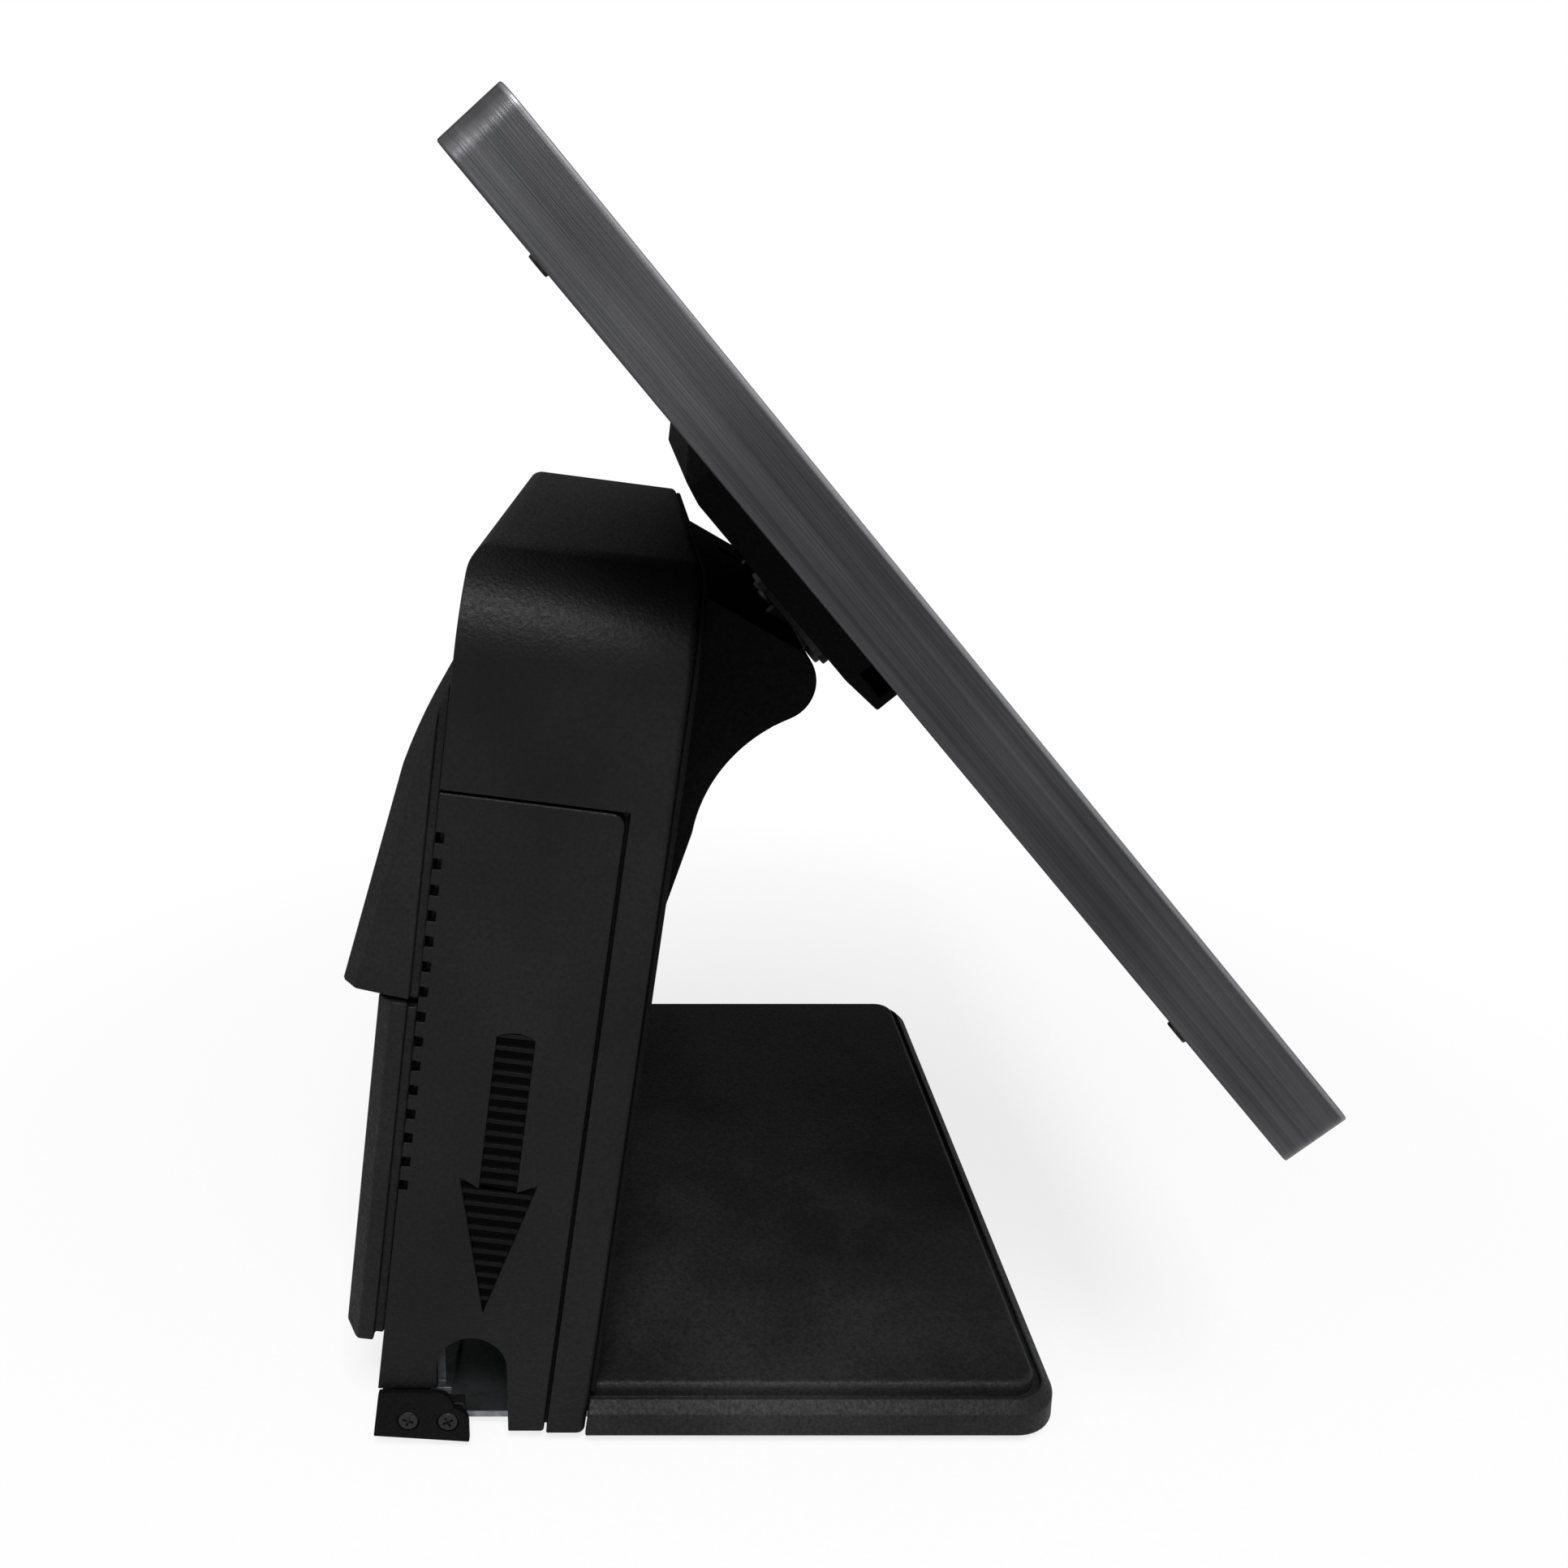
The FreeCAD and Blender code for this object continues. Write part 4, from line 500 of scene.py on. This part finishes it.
def soften(name, radius_mm, steps=2):
    """Copy a CAD part and round its sharp edges."""
    piece = bpy.data.objects.new(name + "_soft", parts[name].data.copy())
    bpy.context.scene.collection.objects.link(piece)
    only(piece)
    bpy.ops.object.mode_set(mode="EDIT")
    bpy.ops.mesh.select_all(action="SELECT")
    bpy.ops.mesh.remove_doubles(threshold=WELD)
    bpy.ops.mesh.dissolve_limited(angle_limit=FLAT, delimit={"NORMAL"})
    bpy.ops.mesh.select_all(action="DESELECT")
    bpy.ops.mesh.edges_select_sharp(sharpness=SHARP)
    bpy.ops.mesh.bevel(offset=radius_mm * MM, segments=steps, profile=0.5, affect="EDGES",
                       clamp_overlap=False, miter_outer="SHARP")
    bpy.ops.mesh.select_all(action="SELECT")
    bpy.ops.mesh.remove_doubles(threshold=WELD)
    bpy.ops.object.mode_set(mode="OBJECT")
    bpy.ops.object.shade_smooth_by_angle(angle=SMOOTH)
    flat_faces = piece.modifiers.new("flat_faces", "WEIGHTED_NORMAL")
    flat_faces.keep_sharp, flat_faces.weight = True, 100
    bpy.ops.object.modifier_apply(modifier="flat_faces")
    take_place(piece, name)
    print("softened %-22s %6d faces" % (name, len(piece.data.polygons)))
    return piece


# %% Soften the outer parts
edge_radius = {"monitor_frame": 0.5, "touch_glass": 0.3, "monitor_rear_cover": 0.3, "tilt_housing": 0.6,
               "tower_cover": 0.4, "side_door_left": 0.3, "side_door_right": 0.3, "front_cover": 0.5,
               "neck_cover": 0.6, "base_cover": 0.4, "display_hood": 0.6, "rear_cover": 0.5,
               "corner_plate_left": 0.35, "corner_plate_right": 0.35, "display_window": 0.25,
               "hinge_support_left": 0.3, "hinge_support_right": 0.3, "tilt_arm_left": 0.3,
               "tilt_arm_right": 0.3, "cable_hooks": 0.2, "power_button": 0.25}
for name, radius in edge_radius.items():
    soften(name, radius)

# %% [markdown]
# ## Screws
#
# The CAD screws are plain discs. A real machine screw has a domed head with a cross recess, which
# is what tells the eye that it is a screw. One head is modelled: a short cylinder, its top edge
# rounded, and a cross cut out with a Boolean modifier. Then it is copied to each place. The places
# are read from the CAD part: each separate lump of it is one screw.


# %% Read the places
def lumps(name):
    """Centre and size of each separate lump of a CAD part."""
    mesh = parts[name].data
    where = {}
    for vertex in mesh.vertices:
        where.setdefault(tuple(round(c, 5) for c in vertex.co), len(where))
    group = list(range(len(where)))

    def root(i):
        while group[i] != i:
            group[i] = group[group[i]]
            i = group[i]
        return i

    key = [where[tuple(round(c, 5) for c in vertex.co)] for vertex in mesh.vertices]
    for edge in mesh.edges:
        group[root(key[edge.vertices[0]])] = root(key[edge.vertices[1]])
    found = {}
    for point, index in where.items():
        found.setdefault(root(index), []).append(point)
    out = []
    for points in found.values():
        low = Vector([min(p[i] for p in points) for i in range(3)])
        high = Vector([max(p[i] for p in points) for i in range(3)])
        out.append(((low + high) / 2, high - low))
    return out


# %% One screw head
def screw_head(radius, height):
    """A domed head with a cross recess, standing on the origin along +Z."""
    bpy.ops.object.select_all(action="DESELECT")
    bpy.ops.mesh.primitive_cylinder_add(vertices=32, radius=radius, depth=height,
                                        location=(0, 0, height / 2))
    head = bpy.context.object
    bpy.ops.object.mode_set(mode="EDIT")
    bpy.ops.mesh.select_all(action="DESELECT")
    bpy.ops.object.mode_set(mode="OBJECT")
    for edge in head.data.edges:
        edge.select = all(head.data.vertices[v].co.z > 0 for v in edge.vertices)
    bpy.ops.object.mode_set(mode="EDIT")
    bpy.ops.mesh.bevel(offset=height * 0.45, segments=4, profile=0.6, affect="EDGES")
    bpy.ops.object.mode_set(mode="OBJECT")
    for turn in (0, 90):
        bpy.ops.object.select_all(action="DESELECT")
        bpy.ops.mesh.primitive_cube_add(size=1, location=(0, 0, height), rotation=(0, 0, math.radians(turn)),
                                        scale=(radius * 1.15, radius * 0.26, height * 1.1))
        cutter = bpy.context.object
        slot_cut = head.modifiers.new("cross", "BOOLEAN")
        slot_cut.object, slot_cut.operation, slot_cut.solver = cutter, "DIFFERENCE", "EXACT"
        only(head)
        bpy.ops.object.modifier_apply(modifier="cross")
        bpy.data.objects.remove(cutter, do_unlink=True)
    only(head)
    bpy.ops.object.transform_apply(location=True, rotation=True, scale=True)
    return head


def place_screws(name, outward, radius, height):
    """Copies of one head at each lump of a CAD part, joined into one piece that replaces it."""
    head = screw_head(radius, height)
    copies = []
    for number, (centre, size) in enumerate(lumps(name)):
        facing = outward(centre)
        half_depth = size.x / 2 if abs(facing.x) > 0.9 else height / 2
        copy = bpy.data.objects.new("%s_head" % name, head.data.copy())
        bpy.context.scene.collection.objects.link(copy)
        turn = facing.to_track_quat("Z", "Y").to_matrix().to_4x4()
        spin = Matrix.Rotation(math.radians(23 + 47 * number), 4, "Z")
        start = centre + facing * (half_depth - height)
        copy.data.transform(Matrix.Translation(start) @ turn @ spin)
        copies.append(copy)
    bpy.data.objects.remove(head, do_unlink=True)
    only(copies[0])
    for copy in copies[1:]:
        copy.select_set(True)
    bpy.ops.object.join()
    piece = bpy.context.object
    piece.name = name + "_crossed"
    bpy.ops.object.shade_smooth_by_angle(angle=PIECE_SMOOTH)
    take_place(piece, name)
    print(len(copies), "screws in", piece.name)


# %% Place the screws
head_back = Vector((0, math.cos(screen_recline), -math.sin(screen_recline)))
HEAD_RADIUS = 2.9 * MM
place_screws("corner_screws", lambda at: Vector((math.copysign(1, at.x), 0, 0)), HEAD_RADIUS, 1.2 * MM)
place_screws("monitor_screws", lambda at: head_back, HEAD_RADIUS, 1.0 * MM)
place_screws("tilt_arm_screws", lambda at: head_back, HEAD_RADIUS, 1.6 * MM)

# %% [markdown]
# ## Rubber feet
#
# Each foot is a moulded disc. Its lower edge is rounded so that it doesn't catch when the terminal
# is pushed, and a shallow dish underneath makes it grip. A plain disc would do for the outline, but
# seen from below it would look like a coin. It starts as a cylinder: the lower edge is bevelled,
# then the lower face is inset twice and its middle is pushed up, which leaves a flat rim all round.


# %% Feet
FOOT_ROUND = 0.6 * MM
RIM_WIDTH, STEP_WIDTH, DISH_DEPTH = 2.2 * MM, 0.5 * MM, 0.8 * MM


def foot(centre, size):
    bpy.ops.object.select_all(action="DESELECT")
    bpy.ops.mesh.primitive_cylinder_add(vertices=48, radius=size.x / 2, depth=size.z, location=centre)
    made = bpy.context.object
    bpy.ops.object.mode_set(mode="EDIT")
    bpy.ops.mesh.select_all(action="DESELECT")
    bpy.ops.object.mode_set(mode="OBJECT")
    for face in made.data.polygons:
        face.select = face.normal.z < -0.9
    bpy.ops.object.mode_set(mode="EDIT")
    bpy.ops.mesh.bevel(offset=FOOT_ROUND, segments=3, affect="EDGES")
    bpy.ops.mesh.select_all(action="DESELECT")
    bpy.ops.object.mode_set(mode="OBJECT")
    for face in made.data.polygons:
        face.select = face.normal.z < -0.9 and face.area > 0.00005
    bpy.ops.object.mode_set(mode="EDIT")
    bpy.ops.mesh.inset(thickness=RIM_WIDTH)
    bpy.ops.mesh.inset(thickness=STEP_WIDTH)
    bpy.ops.mesh.extrude_region_move(TRANSFORM_OT_translate={"value": (0, 0, DISH_DEPTH)})
    bpy.ops.object.mode_set(mode="OBJECT")
    bpy.ops.object.transform_apply(location=True, rotation=True, scale=True)
    return made


feet = [foot(centre, size) for centre, size in lumps("rubber_feet")]
only(feet[0])
for made in feet[1:]:
    made.select_set(True)
bpy.ops.object.join()
feet_piece = bpy.context.object
feet_piece.name = "rubber_feet_dished"
bpy.ops.object.shade_smooth_by_angle(angle=PIECE_SMOOTH)
take_place(feet_piece, "rubber_feet")
print(len(feet), "feet")

# %% [markdown]
# ## Floor, lamps and background
#
# The table is a plain white sheet, and the room is white. It lights the object only a little, so
# black plastic stays black. Four soft lamps do the modelling. The strongest and smallest stands high on the
# left and draws the shoulder's highlight; the others are large and weak, and fill the left side,
# the back and the front. Large lamps give soft-edged reflections, the usual way to light dark gloss.


# %% Lamps
def area_lamp(name, at, aim, size, power):
    lamp_data = bpy.data.lights.new(name, "AREA")
    lamp_data.shape = "RECTANGLE"
    lamp_data.size, lamp_data.size_y = size
    lamp_data.energy = power
    lamp = bpy.data.objects.new(name, lamp_data)
    lamp.location = at
    lamp.rotation_euler = (Vector(aim) - Vector(at)).to_track_quat("-Z", "Y").to_euler()
    bpy.context.scene.collection.objects.link(lamp)


area_lamp("key_softbox", (-0.95, 0.0, 1.2), (0, 0.03, 0.2), (0.4, 0.4), 20)
area_lamp("side_softbox", (-1.4, -0.7, 0.6), (0, 0, 0.2), (0.9, 0.9), 3)
area_lamp("rear_softbox", (-0.7, 1.1, 1.1), (0, 0.05, 0.2), (0.7, 0.7), 4)
area_lamp("front_softbox", (0.4, -1.5, 0.9), (0, 0, 0.2), (1.0, 0.8), 1.5)
print("four lamps")

# %% [markdown]
# ## The white room
#
# To the camera, and in what metal and glass reflect or let through, the room is pure white, so that
# they show the background too. There is one exception. Seen at a low angle, the flat black tops
# mirror the far side of the room and turn grey. Studios stand a black card there. No card is
# modelled here: for mirrored rays alone, the room fades out towards +X, so metal and glass that
# mirror that side show it dark as well.

# %% White room
world = bpy.data.worlds.new("white_room")
bpy.context.scene.world = world
world.use_nodes = True
ROOM_FILL = 0.15                         # how brightly the room lights the object itself
CARD_EDGE, CARD_FULL = 0.4, 0.75         # how far towards +X a mirrored ray points
path = add(world, "ShaderNodeLightPath")
direction = add(world, "ShaderNodeTexCoord").outputs["Generated"]
toward = add(world, "ShaderNodeSeparateXYZ", {"Vector": direction})
card = add(world, "ShaderNodeMapRange", {"Value": toward.outputs["X"], "From Min": CARD_EDGE,
           "From Max": CARD_FULL, "To Min": 1.0, "To Max": 0.0})
mirrored = add(world, "ShaderNodeMath", {0: path.outputs["Is Glossy Ray"], 1: card.outputs["Result"]},
               operation="MULTIPLY")
seen = add(world, "ShaderNodeMath", {0: path.outputs["Is Camera Ray"], 1: mirrored.outputs[0]},
           operation="MAXIMUM")
white = add(world, "ShaderNodeMath", {0: seen.outputs[0], 1: path.outputs["Is Transmission Ray"]},
            operation="MAXIMUM")
power = add(world, "ShaderNodeMapRange", {"Value": white.outputs[0], "To Min": ROOM_FILL, "To Max": 1.0})
sky = world.node_tree.nodes["Background"]
sky.inputs["Color"].default_value = (1, 1, 1, 1)
plug(world, power.outputs["Result"], sky.inputs["Strength"])

# %% White floor
bpy.ops.object.select_all(action="DESELECT")
bpy.ops.mesh.primitive_plane_add(size=30, location=(0, 0, 0))
floor = bpy.context.object
floor.name = "floor"
SHADOW_NEAR, SHADOW_FAR = 0.12, 0.42     # metres from the middle in which the shadow fades out
NEAR_GLOW = 0.8                          # share of plain white where the shadow is strongest
paper, shader = new_material("white_paper", Roughness=0.9, Specular_IOR_Level=0.0)
place = part_place(paper)
fibre = add(paper, "ShaderNodeTexNoise", {"Vector": place, "Scale": 400.0}).outputs["Fac"]
plug(paper, ramp(paper, fibre, [(0.3, "#EFEFEF"), (0.7, "#F6F6F6")]), shader.inputs["Base Color"])
away = add(paper, "ShaderNodeVectorMath", {0: place}, operation="LENGTH")
far = add(paper, "ShaderNodeMapRange", {"Value": away.outputs["Value"], "From Min": SHADOW_NEAR,
          "From Max": SHADOW_FAR, "To Min": NEAR_GLOW, "To Max": 1.0})
path = add(paper, "ShaderNodeLightPath")
share = add(paper, "ShaderNodeMath", {0: path.outputs["Is Camera Ray"], 1: far.outputs["Result"]},
            operation="MULTIPLY")
glow = add(paper, "ShaderNodeEmission", {"Strength": 1.0})
blend = add(paper, "ShaderNodeMixShader", {0: share.outputs[0], 1: shader.outputs[0],
            2: glow.outputs[0]})
plug(paper, blend.outputs[0], paper.node_tree.nodes["Material Output"].inputs["Surface"])
floor.data.materials.append(paper)
bpy.context.scene.view_settings.view_transform = "Standard"
print("white floor and room")
